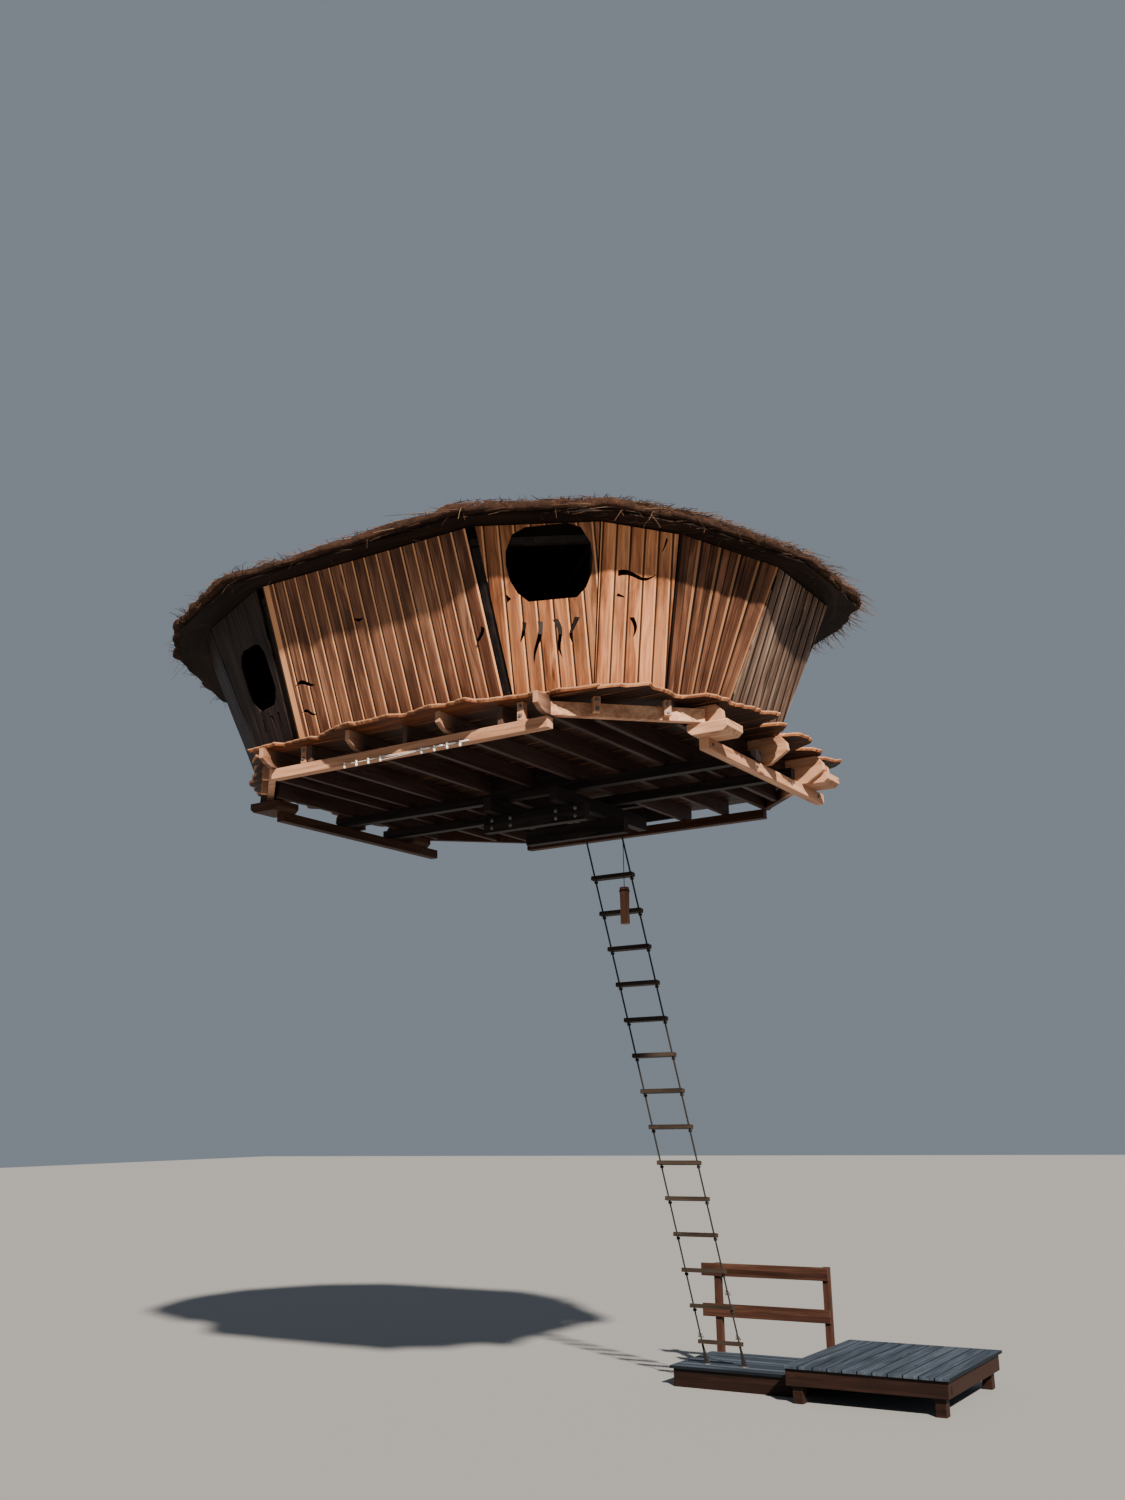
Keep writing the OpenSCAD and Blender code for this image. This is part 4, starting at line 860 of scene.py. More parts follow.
# %% Body of the roof
RING_RADIUS, ROOF_RISE = 0.385, 0.400
EAVE, LIP = 0.262, 0.045
BRUSH_BASE, BRUSH_HIGH = 0.0223, 0.080
wall_head = np.column_stack([plan + leads * wall_tops[:, None], FLOOR_Z + wall_tops])
ring_angle = (np.arange(WALLS) + 0.5) * 2 * np.pi / WALLS - np.pi / 2
ring_head = np.column_stack([RING_RADIUS * np.cos(ring_angle), SHAFT_Y + RING_RADIUS * np.sin(ring_angle),
                             np.full(WALLS, FLOOR_Z + WALL_HIGH + ROOF_RISE)])
slope_length = np.linalg.norm((wall_head - ring_head)[:, :2], axis=1)
lip_share = 1 + (EAVE + LIP) / slope_length


def roof_point(turn, share, lift):
    """A point of the roof: turn runs round the sixteen corners, share from the ring (0) to the lip (1)."""
    corner = np.floor(turn).astype(int) % WALLS
    after, part = (corner + 1) % WALLS, (turn - np.floor(turn))[..., None]
    outer = [ring_head[c] + (wall_head - ring_head)[c] * (share * lip_share[c])[..., None]
             for c in (corner, after)]
    return outer[0] * (1 - part) + outer[1] * part + lift[..., None] * UP


def brush_body():
    """The section in shares from 0 to 1 and lifts: out along the top, round the lip, back on the boards."""
    turn = np.linspace(0, WALLS, 321)[:-1]
    top, lip, bottom = np.linspace(0, 0.985, 44), [0.996, 1.0, 1.0, 0.996], [0.97, 0.7, 0.4, 0.15, 0.0]
    lift = np.concatenate([np.full(len(top), BRUSH_HIGH), [0.070, 0.055, 0.030, 0.008],
                           np.zeros(len(bottom))])
    turns, shares = np.meshgrid(turn, np.concatenate([top, lip, bottom]), indexing="ij")
    points = roof_point(turns, shares, np.broadcast_to(lift, turns.shape) + BRUSH_BASE + 0.0004)
    loose = np.clip(lift / 0.06, 0, 1) * np.clip(np.minimum(shares, 1) / 0.06, 0, 1)
    points[..., 2] += loose * layered_waves(points, (0.018, 0.42, 11), (0.010, 0.13, 12), (0.005, 0.045, 13))
    # the lip itself wanders in and out in plan
    outward_way = unit(points[..., :2] - np.array([0, SHAFT_Y]))
    wander = layered_waves(points[..., :2], (0.018, 0.30, 14), (0.010, 0.08, 15))
    near_lip = np.clip((shares - 0.93) / 0.06, 0, 1) * (lift > 0.001)
    points[..., :2] += outward_way * (wander * near_lip)[..., None]
    return points[None]


def brush_finish(name, tube_lot):
    """Dry heather: dark brown stems, some rust-red with dead needles, told apart by the twig's lot."""
    finish = Finish(name)
    place = finish.place()
    if tube_lot:
        lot = finish.node("Attribute", {"attribute_name": "lot"}, out="Fac")
        tone = finish.ramp(lot, (0.0, (0.030, 0.017, 0.011)), (0.45, (0.075, 0.042, 0.026)),
                           (0.75, (0.17, 0.075, 0.040)), (1.0, (0.30, 0.20, 0.125)))
        fine = finish.noise(place, 160.0, 2.0)
        tone = finish.mix(fine * 0.5, tone, (0.030, 0.018, 0.012))
        return finish.surface(tone, 0.85, finish.bump(fine, 0.001))
    clumps = finish.noise(place, 9.0, 6.0, 0.7)
    litter = finish.noise(place, 95.0, 4.0, 0.7, 1.5)
    tone = finish.ramp(clumps * 0.5 + litter * 0.5, (0.36, (0.012, 0.008, 0.006)),
                       (0.50, (0.050, 0.026, 0.017)), (0.66, (0.15, 0.065, 0.036)))
    return finish.surface(tone, 0.95, finish.bump(litter + clumps * 0.4, 0.02))


litter_finish = brush_finish("brush_litter", False)
place_tubes("brush_body", brush_body(), litter_finish, "brush", "brush_roof", capped=False)

# %% Twigs of the roof
def twigs(turn, share, length, stray, lift, radius, seed, droop=0.0, steps=4):
    """Bent twigs: a start on the roof, a heading = down the slope turned by stray, and a sideways arc.

    The path is start + heading x s + side x bend x s^2 + up x (rise x s - droop x s^2)."""
    dice = np.random.default_rng(seed)
    count = len(turn)
    on_boards = np.full(count, BRUSH_BASE)
    start = roof_point(turn, share, on_boards)
    ahead = unit(roof_point(turn, share + 0.02, on_boards) - start)
    along_eave = unit(np.cross(ahead, UP))
    heading = np.cos(stray)[:, None] * ahead + np.sin(stray)[:, None] * along_eave
    side = np.cross(heading, UP)
    s = np.linspace(0, 1, steps)[None, :, None]
    bend = dice.normal(0, 0.16, count)[:, None, None]
    rise = dice.uniform(-0.03, 0.10, count)[:, None, None]
    size = length[:, None, None]
    path = (start[:, None] + heading[:, None] * s * size + side[:, None] * bend * s ** 2 * size
            + UP * (lift[:, None, None] + rise * s * size - droop * s ** 2 * size))
    taper = radius[:, None] * np.linspace(1.0, 0.35, steps)[None, :]
    return round_tubes(path, taper, 3, dice.uniform(0, 2)), dice.uniform(0, 1, count)


TWIG_LAYERS, TWIGS, FRINGE, STRAYS = 2, 9500, 5200, 90
ALONG_EAVE = 0.72
twig_finish = brush_finish("brush_twigs", True)


def place_twigs(name, points, luck):
    """Twigs as a piece of loose brush, each with its own lot."""
    place_tubes(name, points, twig_finish, "brush", smooth=False, luck=luck)


def even_start(count, seed, low=0.02, high=0.97):
    """Random starts spread evenly over the roof's area, which grows outwards from the ring."""
    dice = np.random.default_rng(seed)
    share = np.sqrt(dice.uniform((low + 0.13) ** 2, (high + 0.13) ** 2, count)) - 0.13
    return dice.uniform(0, WALLS, count), share, dice


for number in range(TWIG_LAYERS):
    turn, share, dice = even_start(TWIGS, 100 + number)
    length = dice.uniform(0.16, 0.42, len(turn))
    length = np.minimum(length, np.maximum((1.03 - share) * 2.0, 0.08))
    points, luck = twigs(turn, share, length, dice.normal(0, 0.85, len(turn)),
                         dice.uniform(0.066, 0.104, len(turn)), dice.uniform(0.0022, 0.0052, len(turn)),
                         200 + number)
    place_twigs(f"brush_twigs_{number}", points, luck)

# %% Fringe along the eave
count = FRINGE
dice = np.random.default_rng(77)
turn, share = dice.uniform(0, WALLS, count), dice.uniform(0.93, 0.984, count)
along_the_eave = dice.uniform(0, 1, count) < ALONG_EAVE
stray = np.where(along_the_eave, dice.choice([-1, 1], count) * dice.normal(1.45, 0.18, count),
                 dice.normal(0, 0.5, count))
length = np.where(along_the_eave, dice.uniform(0.14, 0.34, count), dice.uniform(0.03, 0.09, count))
points, luck = twigs(turn, share, length, stray, dice.uniform(0.004, 0.100, count),
                     dice.uniform(0.0018, 0.0048, count), 78, droop=0.12)
place_twigs("brush_fringe", points, luck)

count = STRAYS
turn, share = dice.uniform(0, WALLS, count), dice.uniform(0.95, 0.99, count)
points, luck = twigs(turn, share, dice.uniform(0.08, 0.17, count), dice.normal(0, 1.0, count),
                     dice.uniform(0.004, 0.07, count), dice.uniform(0.0018, 0.003, count), 79,
                     droop=0.9, steps=8)
place_twigs("brush_strays", points, luck * 0.5 + 0.5)

# %% [markdown]
# ## Rope, knots and iron
#
# The ladder hangs on two laid ropes. Three strands twist round each other, so the section of the rope is a
# circle with three lobes, and the lobes turn as the section moves along the path. Under every rung the rope
# is knotted, and a trefoil is the very curve of such a knot. At the foot each rope ends in a shackle and a
# black strap that is screwed to the landing deck. The ropes are taut between the bar and the deck, so they
# are straight.

# %% The ladder's line
LADDER_TOP = np.array([-0.070, SHAFT_Y + 0.905, LEVEL + 0.082])
LADDER_FOOT = np.array([0.217, SHAFT_Y + 2.665, LEVEL - 5.265])
RUNG_PITCH, RUNGS, FOOT_GAP, ROPE_GAP, ROPE_RADIUS = 0.366, 14, 0.230, 0.412, 0.009
ROPE_SIDES = (-ROPE_GAP / 2, ROPE_GAP / 2)
RUNG_WAY = np.array([1.0, 0, 0])
BAR_Z, HALF_BAR = LEVEL + 0.135, (0.030, 0.045)
ladder_length = np.linalg.norm(LADDER_FOOT - LADDER_TOP)
ladder_down = (LADDER_FOOT - LADDER_TOP) / ladder_length
last_rung = ladder_length - FOOT_GAP
rung_places = last_rung - RUNG_PITCH * np.arange(RUNGS - 1, -1, -1)
print("ladder", round(ladder_length, 3), "m, first rung at", round(rung_places[0], 3))


def on_ladder(s, x=0.0):
    """The place s metres down the ladder, and x to the side."""
    return LADDER_TOP + ladder_down * s + RUNG_WAY * x


# %% Curves of the rope
def laid_rope(path, radius, lay=0.11, sides=12):
    """Three strands: radius x (0.80 + 0.22 |cos 1.5 (angle - 2 pi s / lay)|), s metres along the path."""
    first, second = [axis[0] for axis in frames(path[None])]
    s = np.concatenate([[0], np.cumsum(np.linalg.norm(np.diff(path, axis=0), axis=1))])
    angle = circle(sides)
    size = radius * (0.80 + 0.22 * np.abs(np.cos(1.5 * (angle - 2 * np.pi * s[:, None] / lay))))
    return path[:, None] + size[..., None] * around(first, second, angle)


def straight(start, stop, step):
    """Points of a straight line, about a step apart."""
    share = np.linspace(0, 1, max(2, int(np.linalg.norm(np.subtract(stop, start)) / step)))[:, None]
    return np.asarray(start) * (1 - share) + np.asarray(stop) * share


def squared(angle, power):
    """A circle pushed out towards a square: the sign of cosine and sine x their size to a power below 1."""
    return [np.sign(way) * np.abs(way) ** power for way in (np.cos(angle), np.sin(angle))]


def round_the_bar(x):
    """A turn round the bar, half its width and height and the rope's radius away from its middle."""
    t = np.linspace(0, 2 * np.pi, 64)
    y, z = [(half + ROPE_RADIUS) * way for half, way in zip(HALF_BAR, squared(t, 0.3))]
    return np.stack([np.full_like(t, x), LADDER_TOP[1] + y, BAR_Z + z], -1)


def trefoil(centre, size):
    """The trefoil knot: (sin t + 2 sin 2t, cos t - 2 cos 2t, -1.3 sin 3t) x size."""
    t = np.linspace(0, 2 * np.pi, 49)
    shape = np.stack([np.sin(t) + 2 * np.sin(2 * t), np.cos(t) - 2 * np.cos(2 * t), -1.3 * np.sin(3 * t)], -1)
    return centre + shape * size


# %% Ropes and knots
rope_finish = Finish("dark_rope")
strand_noise = rope_finish.noise(rope_finish.place(), 420.0, 4.0, 0.7)
fade = rope_finish.noise(rope_finish.place(), 3.0, 3.0)
rope_tone = rope_finish.ramp(strand_noise, (0.35, (0.009, 0.0077, 0.0063)), (0.65, (0.040, 0.034, 0.027)))
rope_tone = rope_finish.mix(fade * 0.5, rope_tone, (0.023, 0.025, 0.020))
rope_material = rope_finish.surface(rope_tone, 0.9, rope_finish.bump(strand_noise, 0.0012))

rope_lines = [straight(on_ladder(0.004, x), on_ladder(last_rung + 0.075, x), 0.007) for x in ROPE_SIDES]
ropes = [laid_rope(line, ROPE_RADIUS) for line in rope_lines]
place_tubes("laid_ropes", ropes, rope_material, "rope", "ladder_ropes")
turns = [laid_rope(round_the_bar(LADDER_TOP[0] + x), ROPE_RADIUS) for x in ROPE_SIDES]
place_tubes("bar_turns", turns, rope_material, "rope")
knots = np.stack([trefoil(on_ladder(s + 0.042, x), 0.0052) for s in rung_places[:-1] for x in ROPE_SIDES])
place_tubes("rung_knots", round_tubes(knots, 0.0068, 8), rope_material, "rope")


# %% Turned pieces
def turned(profile, base, direction, sides=24, corners=None):
    """A profile of (radius, height) turned about a direction. With corners, the circle becomes a polygon from
    the third ring on: radius x cos(pi / n) / cos(angle to the middle of the side)."""
    direction = unit(np.asarray(direction, float))
    first = unit(np.cross(direction, [0.31, 0.11, 0.94] if abs(direction[2]) < 0.9 else [1.0, 0, 0]))
    angle = circle(sides)
    radius, height = np.asarray(profile, float).T
    radius = np.repeat(radius[:, None], sides, axis=1)
    if corners is not None:
        half = np.pi / corners
        radius[2:] *= np.cos(half) / np.cos((angle % (2 * half)) - half)
    return (np.asarray(base, float) + height[:, None, None] * direction
            + radius[..., None] * around(first, np.cross(direction, first), angle))


FOOT_BOLT_IN, FOOT_HEIGHTS, SLANT_HEIGHTS = 0.140, (0.128, 0.202), (0.142, 0.207)
SLANT_FACE, SLANT_OUT, LEAST_RUN = 0.058, 0.010, 0.040
CLAMP_BOLT_X, CLAMP_BOLT_Y, CLAMP_BOLT_Z = (-0.455, -0.25, 0.25, 0.455), (-0.405, 0.405), (-0.035, 0.035)
CLAMP_DOWN, BEARER_DOWN, BEARER_BOLT_Y = 0.205, 0.045, (-1.20, -0.36, 0.375, 1.00)


def foot_bolts():
    """Two bolts in the outer face of each stud's foot: on the front rim, and on the slanting rims."""
    found = [((plan[wall][0] + FOOT_BOLT_IN, FRONT_RIM_Y, LEVEL + height), (0, -1, 0))
             for wall in (0, 15) for height in FOOT_HEIGHTS]
    for wall in (1, 2, 13, 14):
        side = 1 if wall < WALLS / 2 else -1
        run = abs(plan[wall][0] - PLATFORM_X) - RIM_HALF + plan[wall][1] - SHAFT_Y + PLATFORM_FRONT
        run = max(run / math.sqrt(2), LEAST_RUN)
        x = SLANT_OUT + (run + SLANT_FACE) / math.sqrt(2)
        y = -SLANT_OUT + (run - SLANT_FACE) / math.sqrt(2)
        found += [((PLATFORM_X + side * (RIM_HALF + x), FRONT_RIM_Y + y, LEVEL + height), (side, -1, 0))
                  for height in SLANT_HEIGHTS]
    return found


def beam_bolts():
    """Bolts through the clamp beams beside the shaft, and one at each crossing of side rims and bearers."""
    found = [((x, SHAFT_Y + y, LEVEL - CLAMP_DOWN + z), (0, np.sign(y), 0))
             for x in CLAMP_BOLT_X for y in CLAMP_BOLT_Y for z in CLAMP_BOLT_Z]
    found += [((PLATFORM_X + side * PLATFORM_HALF, SHAFT_Y + y, LEVEL - BEARER_DOWN), (side, 0, 0))
              for side in (-1, 1) for y in BEARER_BOLT_Y]
    return found


# %% Bolts
BOLT = [(0.018, -0.001), (0.018, 0.0022), (0.0150, 0.0030), (0.0118, 0.0032), (0.0118, 0.0098),
        (0.0098, 0.0112)]
steel_finish = Finish("dull_steel")
scratches = steel_finish.noise(steel_finish.place(), 260.0, 4.0, 0.6)
blotches = steel_finish.noise(steel_finish.place(), 40.0, 3.0)
steel_tone = steel_finish.ramp(blotches, (0.40, (0.26, 0.255, 0.245)), (0.62, (0.14, 0.125, 0.11)))
steel_bump = steel_finish.bump(scratches, 0.0003)
steel_material = steel_finish.surface(steel_tone, 0.45 + scratches * 0.3, steel_bump, metallic=0.85)
bolts = [turned(BOLT, base, direction, corners=6) for base, direction in foot_bolts() + beam_bolts()]
place_tubes("bolts", bolts, steel_material, "shackle_steel", smooth=False)

# %% Shackles and straps at the ladder's foot
def shackle(centre, down, size=0.017):
    """A bow shackle: straight legs and a half circle, in the plane across the rungs."""
    t = np.linspace(0, np.pi, 17)
    legs = np.linspace(1.6, 0, 6)[:-1]
    flat = np.concatenate([np.stack([np.ones(5), legs], -1), np.stack([np.cos(t), -np.sin(t)], -1),
                           np.stack([-np.ones(5), legs[::-1]], -1)]) * size
    return centre + flat[:, :1] * RUNG_WAY - flat[:, 1:] * down


PIN = [(0.0085, -0.028), (0.0085, -0.022), (0.0050, -0.021), (0.0050, 0.021), (0.0085, 0.022),
       (0.0085, 0.028)]
shackle_places = [on_ladder(last_rung - 0.075, x) for x in ROPE_SIDES]
shackle_places.append(on_ladder(last_rung - RUNG_PITCH - 0.16, ROPE_GAP / 2))
bows = np.stack([shackle(place, -ladder_down) for place in shackle_places])
place_tubes("shackle_bows", round_tubes(bows, 0.0042, 10), steel_material, "shackle_steel")
pins = [turned(PIN, place + ladder_down * 0.026, RUNG_WAY, sides=12) for place in shackle_places]
place_tubes("shackle_pins", pins, steel_material, "shackle_steel", smooth=False)

strap_finish = Finish("black_strap")
ribs = strap_finish.dot(strap_finish.place(), (0, 0, 1)) * 1400.0
weave = (ribs.math("SINE") + 1.0) * 0.5
strap_tone = strap_finish.mix(weave, (0.012, 0.012, 0.013), (0.035, 0.035, 0.037))
strap_material = strap_finish.surface(strap_tone, 0.6, strap_finish.bump(weave, 0.0006))


def flared_strap(x):
    """A strap from the last rung to the deck: width 24 mm + 40 mm s^2, thickness 9 mm + 12 mm s^3."""
    s = np.linspace(0, 1, 30)[:, None]
    path = on_ladder(last_rung + 0.030, x) * (1 - s) + (LADDER_FOOT + [x, 0, 0.012]) * s
    wide, thick = squared(circle(16), 0.45)
    wide, thick = (0.012 + 0.020 * s ** 2) * wide, (0.0045 + 0.006 * s ** 3) * thick
    return path[:, None] + wide[..., None] * RUNG_WAY + thick[..., None] * np.cross(ladder_down, RUNG_WAY)


PLATE = [(0.036, 0.0), (0.036, 0.004), (0.033, 0.006), (0.010, 0.0065), (0.010, 0.013), (0.008, 0.015)]
straps = [flared_strap(x) for x in ROPE_SIDES]
place_tubes("foot_straps", straps, strap_material, "shackle_steel", "ladder_shackles")
plates = [turned(PLATE, LADDER_FOOT + [x, 0, 0], UP) for x in ROPE_SIDES]
place_tubes("foot_plates", plates, steel_material, "shackle_steel", smooth=False)

# %% Screws of the landing decks
LOW_DECK, HIGH_DECK = (-0.300, 1.070, 2.440, 3.400, -5.265), (1.070, 2.640, 2.130, 3.845, -5.125)
PLANK_GAP, SCREW_IN, INNER_SCREW_IN, LOW_COUNT, HIGH_COUNT = 0.005, 0.052, 0.022, 8, 11
SCREW = [(0.0048, -0.002), (0.0048, 0.0006), (0.0040, 0.0012), (0.0018, 0.0002)]


def across_planks(start, stop, planks):
    """Two places on each plank, where planks lie side by side from start to stop."""
    pitch = (stop - start + PLANK_GAP) / planks
    return [start + (k + part) * pitch for k in range(planks) for part in (0.24, 0.72)]


def deck_screws():
    """Two screws where each plank crosses a frame board, sunk almost flush with the plank's top."""
    x0, x1, y0, y1, z = LOW_DECK
    places = [(x, y, z) for x in (x0 + SCREW_IN, (x0 + x1) / 2, x1 - INNER_SCREW_IN)
              for y in across_planks(y0, y1, LOW_COUNT)]
    x0, x1, y0, y1, z = HIGH_DECK
    places += [(x, y, z) for y in (y0 + SCREW_IN, (y0 + y1) / 2, y1 - SCREW_IN)
               for x in across_planks(x0, x1, HIGH_COUNT)]
    astray = np.random.default_rng(31).normal(0, 0.003, (len(places), 2))
    return np.array(places) + np.column_stack([astray, np.zeros(len(places))])


screws = [turned(SCREW, place + [0, SHAFT_Y, LEVEL], UP, sides=10) for place in deck_screws()]
screw_finish = Finish("dark_screws")
tarnish = screw_finish.noise(screw_finish.place(), 300.0)
screw_tone = screw_finish.mix(tarnish, (0.03, 0.03, 0.03), (0.10, 0.09, 0.08))
place_tubes("deck_screws", screws, screw_finish.surface(screw_tone, 0.5, metallic=0.6), "shackle_steel",
            smooth=False)

# %% [markdown]
# ## The hanging log and the pegs
#
# A short peeled log hangs on a cord from the beam beside the shaft. It is a turned shape whose radius
# carries two sizes of noise: the log's own swelling, and the ridges that run along it. Fine checks come
# from its finish. Along the front rim runs a thin line with eight white pegs that hang down, and each of
# the four on the right also has a clip on the line.

# %% Log and cord
LOG_PLACE = np.array([0.375, SHAFT_Y + 0.600, LEVEL - 0.130])
LOG_DROP, LOG_LENGTH, LOG_RADIUS = 0.620, 0.350, 0.0475
CORD_RADIUS, CORD_LAY, CORD_SIDES = 0.0038, 0.03, 9


def rough_log():
    """Radius = R x (0.93 + 0.03 swelling + 0.022 ridges) x (1 - 0.14 chamfer^2), chamfered at both ends."""
    heights, angles = np.meshgrid(np.linspace(0, LOG_LENGTH, 60), circle(56), indexing="ij")
    ring = np.stack([np.cos(angles), np.sin(angles)], -1)
    ridges = waves(np.concatenate([ring * 0.9, heights[..., None] * 1.2], -1), 0.17, 21)
    swelling = waves(np.concatenate([ring * 0.05, heights[..., None]], -1), 0.25, 22)
    chamfer = np.clip(1 - np.minimum(heights, LOG_LENGTH - heights) / 0.008, 0, 1)
    radius = LOG_RADIUS * (0.93 + 0.03 * swelling + 0.022 * ridges) * (1 - 0.14 * chamfer ** 2)
    base = LOG_PLACE - [0, 0, LOG_DROP + LOG_LENGTH]
    return (base + np.stack([radius * ring[..., 0], radius * ring[..., 1], heights], -1))[None]


LOG_TONES = ((0.10, 0.042, 0.028), (0.24, 0.108, 0.070), (0.37, 0.20, 0.135))
log_finish = Finish("peeled_log")
log_x, log_y, log_z = [log_finish.dot(log_finish.place(), axis, tuple(LOG_PLACE)) for axis in AXES["x"]]
log_angle = log_y.math("ARCTAN2", log_x)
log_tone, log_height = wood_layers(log_finish, log_z, log_angle * 0.05, log_x * 0.1, log_z * 0.0 + 5.0,
                                   LOG_TONES)
log_tone, log_height = end_grain(log_finish, log_tone, log_height, "z", log_x + 0.04, log_y + 0.2,
                                 log_z * 0.0 + 2.0, LOG_TONES)
log_material = log_finish.surface(log_tone, 0.75, log_finish.bump(log_height, 0.003))
place_tubes("peeled_log", rough_log(), log_material, "log_bark", "hanging_log")

cord_path = straight(LOG_PLACE, LOG_PLACE - [0, 0, LOG_DROP - 0.004], 0.004)
t = np.linspace(0, 4 * np.pi, 97)
wrap_radius = LOG_RADIUS * 0.97 + 0.002
wrap = LOG_PLACE - [0, 0, LOG_DROP + 0.045] + np.stack(
    [wrap_radius * np.cos(t), wrap_radius * np.sin(t), CORD_RADIUS * t / np.pi], -1)
for name, path in (("log_cord", cord_path), ("log_wrap", wrap)):
    place_tubes(name, [laid_rope(path, CORD_RADIUS, CORD_LAY, CORD_SIDES)], rope_material, "rope")

# %% Pegs on their line
PEG_START = np.array([-0.645, FRONT_RIM_Y - 0.0108, LEVEL + 0.006])
PEG_PITCH, PEG_GAP, PEG_IN = 0.127, 0.805, 0.006
PEG = [(0.0035, -0.036), (0.0080, -0.034), (0.0100, -0.026), (0.0098, -0.014), (0.0055, -0.008),
       (0.0055, -0.002), (0.0095, 0.004), (0.0098, 0.010), (0.0070, 0.015), (0.0030, 0.016)]
CLIP = [(0.0030, 0.004), (0.0075, 0.006), (0.0085, 0.020), (0.0060, 0.032), (0.0085, 0.046), (0.0080, 0.070),
        (0.0055, 0.084), (0.0025, 0.086)]
peg_finish = Finish("white_pegs")
grime = peg_finish.noise(peg_finish.place(), 55.0, 4.0)
peg_tone = peg_finish.mix(peg_finish.ease(grime, 0.45, 0.75) * 0.6, (0.80, 0.79, 0.75), (0.42, 0.38, 0.32))
peg_material = peg_finish.surface(peg_tone, 0.45 + grime * 0.1)
peg_x = [group * PEG_GAP + number * PEG_PITCH for group in (0, 1) for number in range(4)]
pegs = [turned(PEG, PEG_START + [x + PEG_IN, 0, 0], UP, sides=16) for x in peg_x]
place_tubes("pegs", pegs, peg_material, "peg_white", "peg_string")
clips = [turned(CLIP, PEG_START + [x + PEG_IN, 0, 0.002], RUNG_WAY, sides=14) for x in peg_x[4:]]
place_tubes("peg_clips", clips, peg_material, "peg_white")


def line_between(x0, x1, z0, z1, sag):
    """A thin line, straight in plan: z goes from z0 to z1, less a sag of 4 s (1 - s)."""
    s = np.linspace(0, 1, 40)
    z = z0 + (z1 - z0) * s - sag * 4 * s * (1 - s)
    return PEG_START + np.stack([x0 + (x1 - x0) * s, np.zeros_like(s), z], -1)


gap_from, gap_to = peg_x[3] + PEG_IN, peg_x[4] + PEG_IN
lines = np.stack([line_between(*ends) for ends in (
    (0.0, gap_from, 0.0, 0.0, 0.001), (gap_from, gap_to, 0.010, 0.002, 0.002),
    (gap_from, gap_to, 0.0, 0.0, 0.006), (gap_from, gap_to, -0.022, -0.002, 0.004),
    (gap_to, peg_x[7] + 0.091, 0.0, 0.0, 0.001))])
place_tubes("peg_lines", round_tubes(lines, 0.0019, 6), peg_material, "peg_white")

# %% [markdown]
# ## Roof boards
#
# The boards under the brush show at the eaves, from below. Their tones are painted near black for the shade
# under the eaves. They run along the eaves, so their finish counts boards by the distance from the middle of
# the cabin.

# %% Finish of the roof boards
EAVE_BOARD = 0.13
# painted shade: near-black tones for the eave boards, seen from below in the eaves' shade
EAVE_SHADE_TONES = ((0.006, 0.0035, 0.003), (0.016, 0.009, 0.007), (0.032, 0.018, 0.013))
eave_finish = Finish("eave_boards")
middle = (*CABIN_MIDDLE, 0)
eave_x, eave_y, eave_z = [eave_finish.dot(eave_finish.place(), axis, middle) for axis in AXES["x"]]
round_angle = eave_y.math("ARCTAN2", eave_x * 0.72)
outwards = (eave_x * eave_x * 0.52 + eave_y * eave_y).math("SQRT")
board_number = (outwards / EAVE_BOARD).math("FLOOR")
eave_tone, eave_height = wood_layers(eave_finish, round_angle * 2.2, outwards, eave_z * 0.3,
                                     board_number * 3.1, EAVE_SHADE_TONES)
board_joint = 1.0 - eave_finish.ease((outwards / EAVE_BOARD).math("FRACT"), 0.0, 0.06)
eave_tone = eave_finish.mix(board_joint * 0.8, eave_tone, (0.006, 0.004, 0.003))
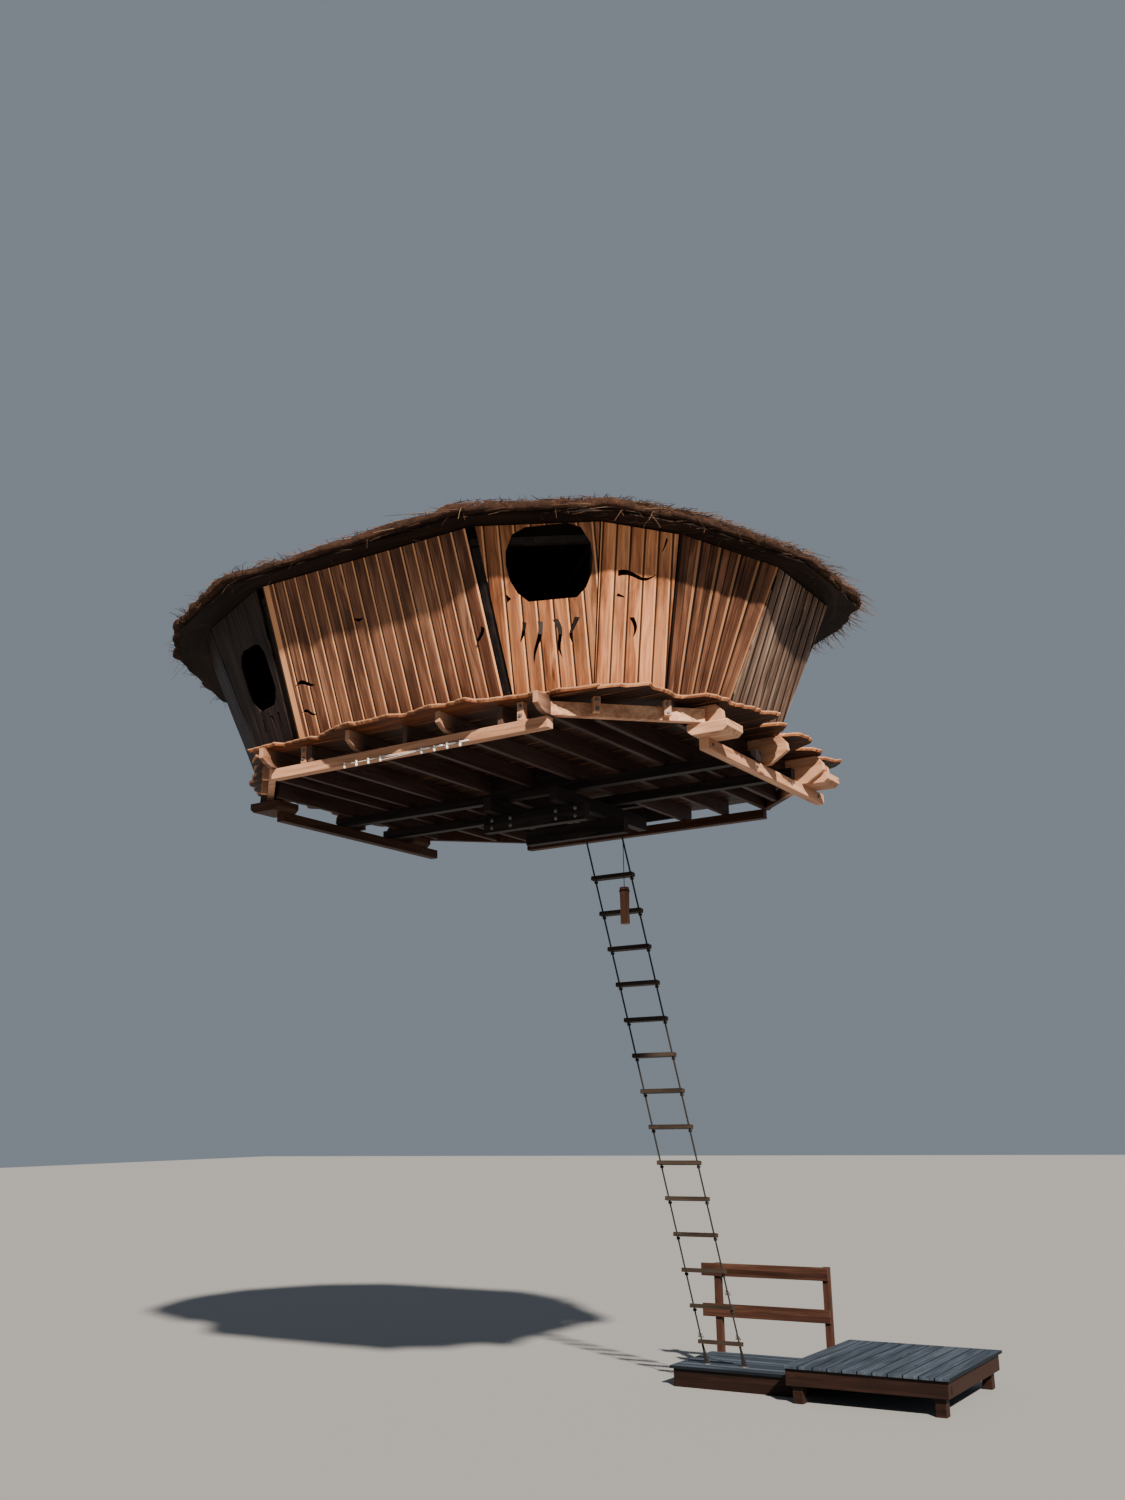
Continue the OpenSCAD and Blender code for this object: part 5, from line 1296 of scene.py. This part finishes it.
wear(nodes["roof_boards"], eave_finish.surface(eave_tone, 0.75, eave_finish.bump(eave_height, 0.0015)))

# %% [markdown]
# ## The studio
#
# The floor is a wide pale plate that the landing decks stand on. One sun stands in front and to the
# right, low enough to rake over the front wall and to throw the eaves' shadow over the upper third of the
# boards. An even pale light from all round fills the shade.

# %% Floor and light
STUDIO_Z, HALF_FLOOR, FLOOR_TONE = cad_low[2], 80, (0.27, 0.268, 0.264)
SUN_TURN, SUN_HEIGHT, SUN_WIDTH = math.radians(47.0), math.radians(35.5), math.radians(2.0)
SUN_POWER, SUN_TONE = 10.5, (1.0, 0.91, 0.80)
FILL_POWER, FILL_TONE = 0.27, (0.74, 0.85, 1.0)
floor_mesh = bpy.data.meshes.new("floor")
corners = [(x * HALF_FLOOR, y * HALF_FLOOR, STUDIO_Z) for x, y in ((-1, -1), (1, -1), (1, 1), (-1, 1))]
floor_mesh.from_pydata(corners, [], [(0, 1, 2, 3)])
floor = into_scene("floor", floor_mesh)
wear(floor, Finish("pale_floor").surface(FLOOR_TONE, 0.9))
floor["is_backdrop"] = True

sun = into_scene("sun", bpy.data.lights.new("sun", "SUN"))
sun.data.energy, sun.data.angle, sun.data.color = SUN_POWER, SUN_WIDTH, SUN_TONE
sun_from = np.array([math.sin(SUN_TURN) * math.cos(SUN_HEIGHT), -math.cos(SUN_TURN) * math.cos(SUN_HEIGHT),
                     math.sin(SUN_HEIGHT)])
side = unit(np.cross(UP, sun_from))
aim(sun, side, np.cross(sun_from, side), sun_from)

world = bpy.data.worlds.new("studio_fill")
bpy.context.scene.world = world
world.use_nodes = True
fill = world.node_tree.nodes["Background"].inputs
fill["Color"].default_value, fill["Strength"].default_value = (*FILL_TONE, 1), FILL_POWER
print("sun", round(math.degrees(SUN_HEIGHT), 1), "degrees up, floor at", round(STUDIO_Z, 3))

seen_low, seen_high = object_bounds()
("[" + ",\n".join(str([round(v, 5) for v in corner])
                             for corner in (cad_low, cad_high, seen_low, seen_high)) + "]\n")
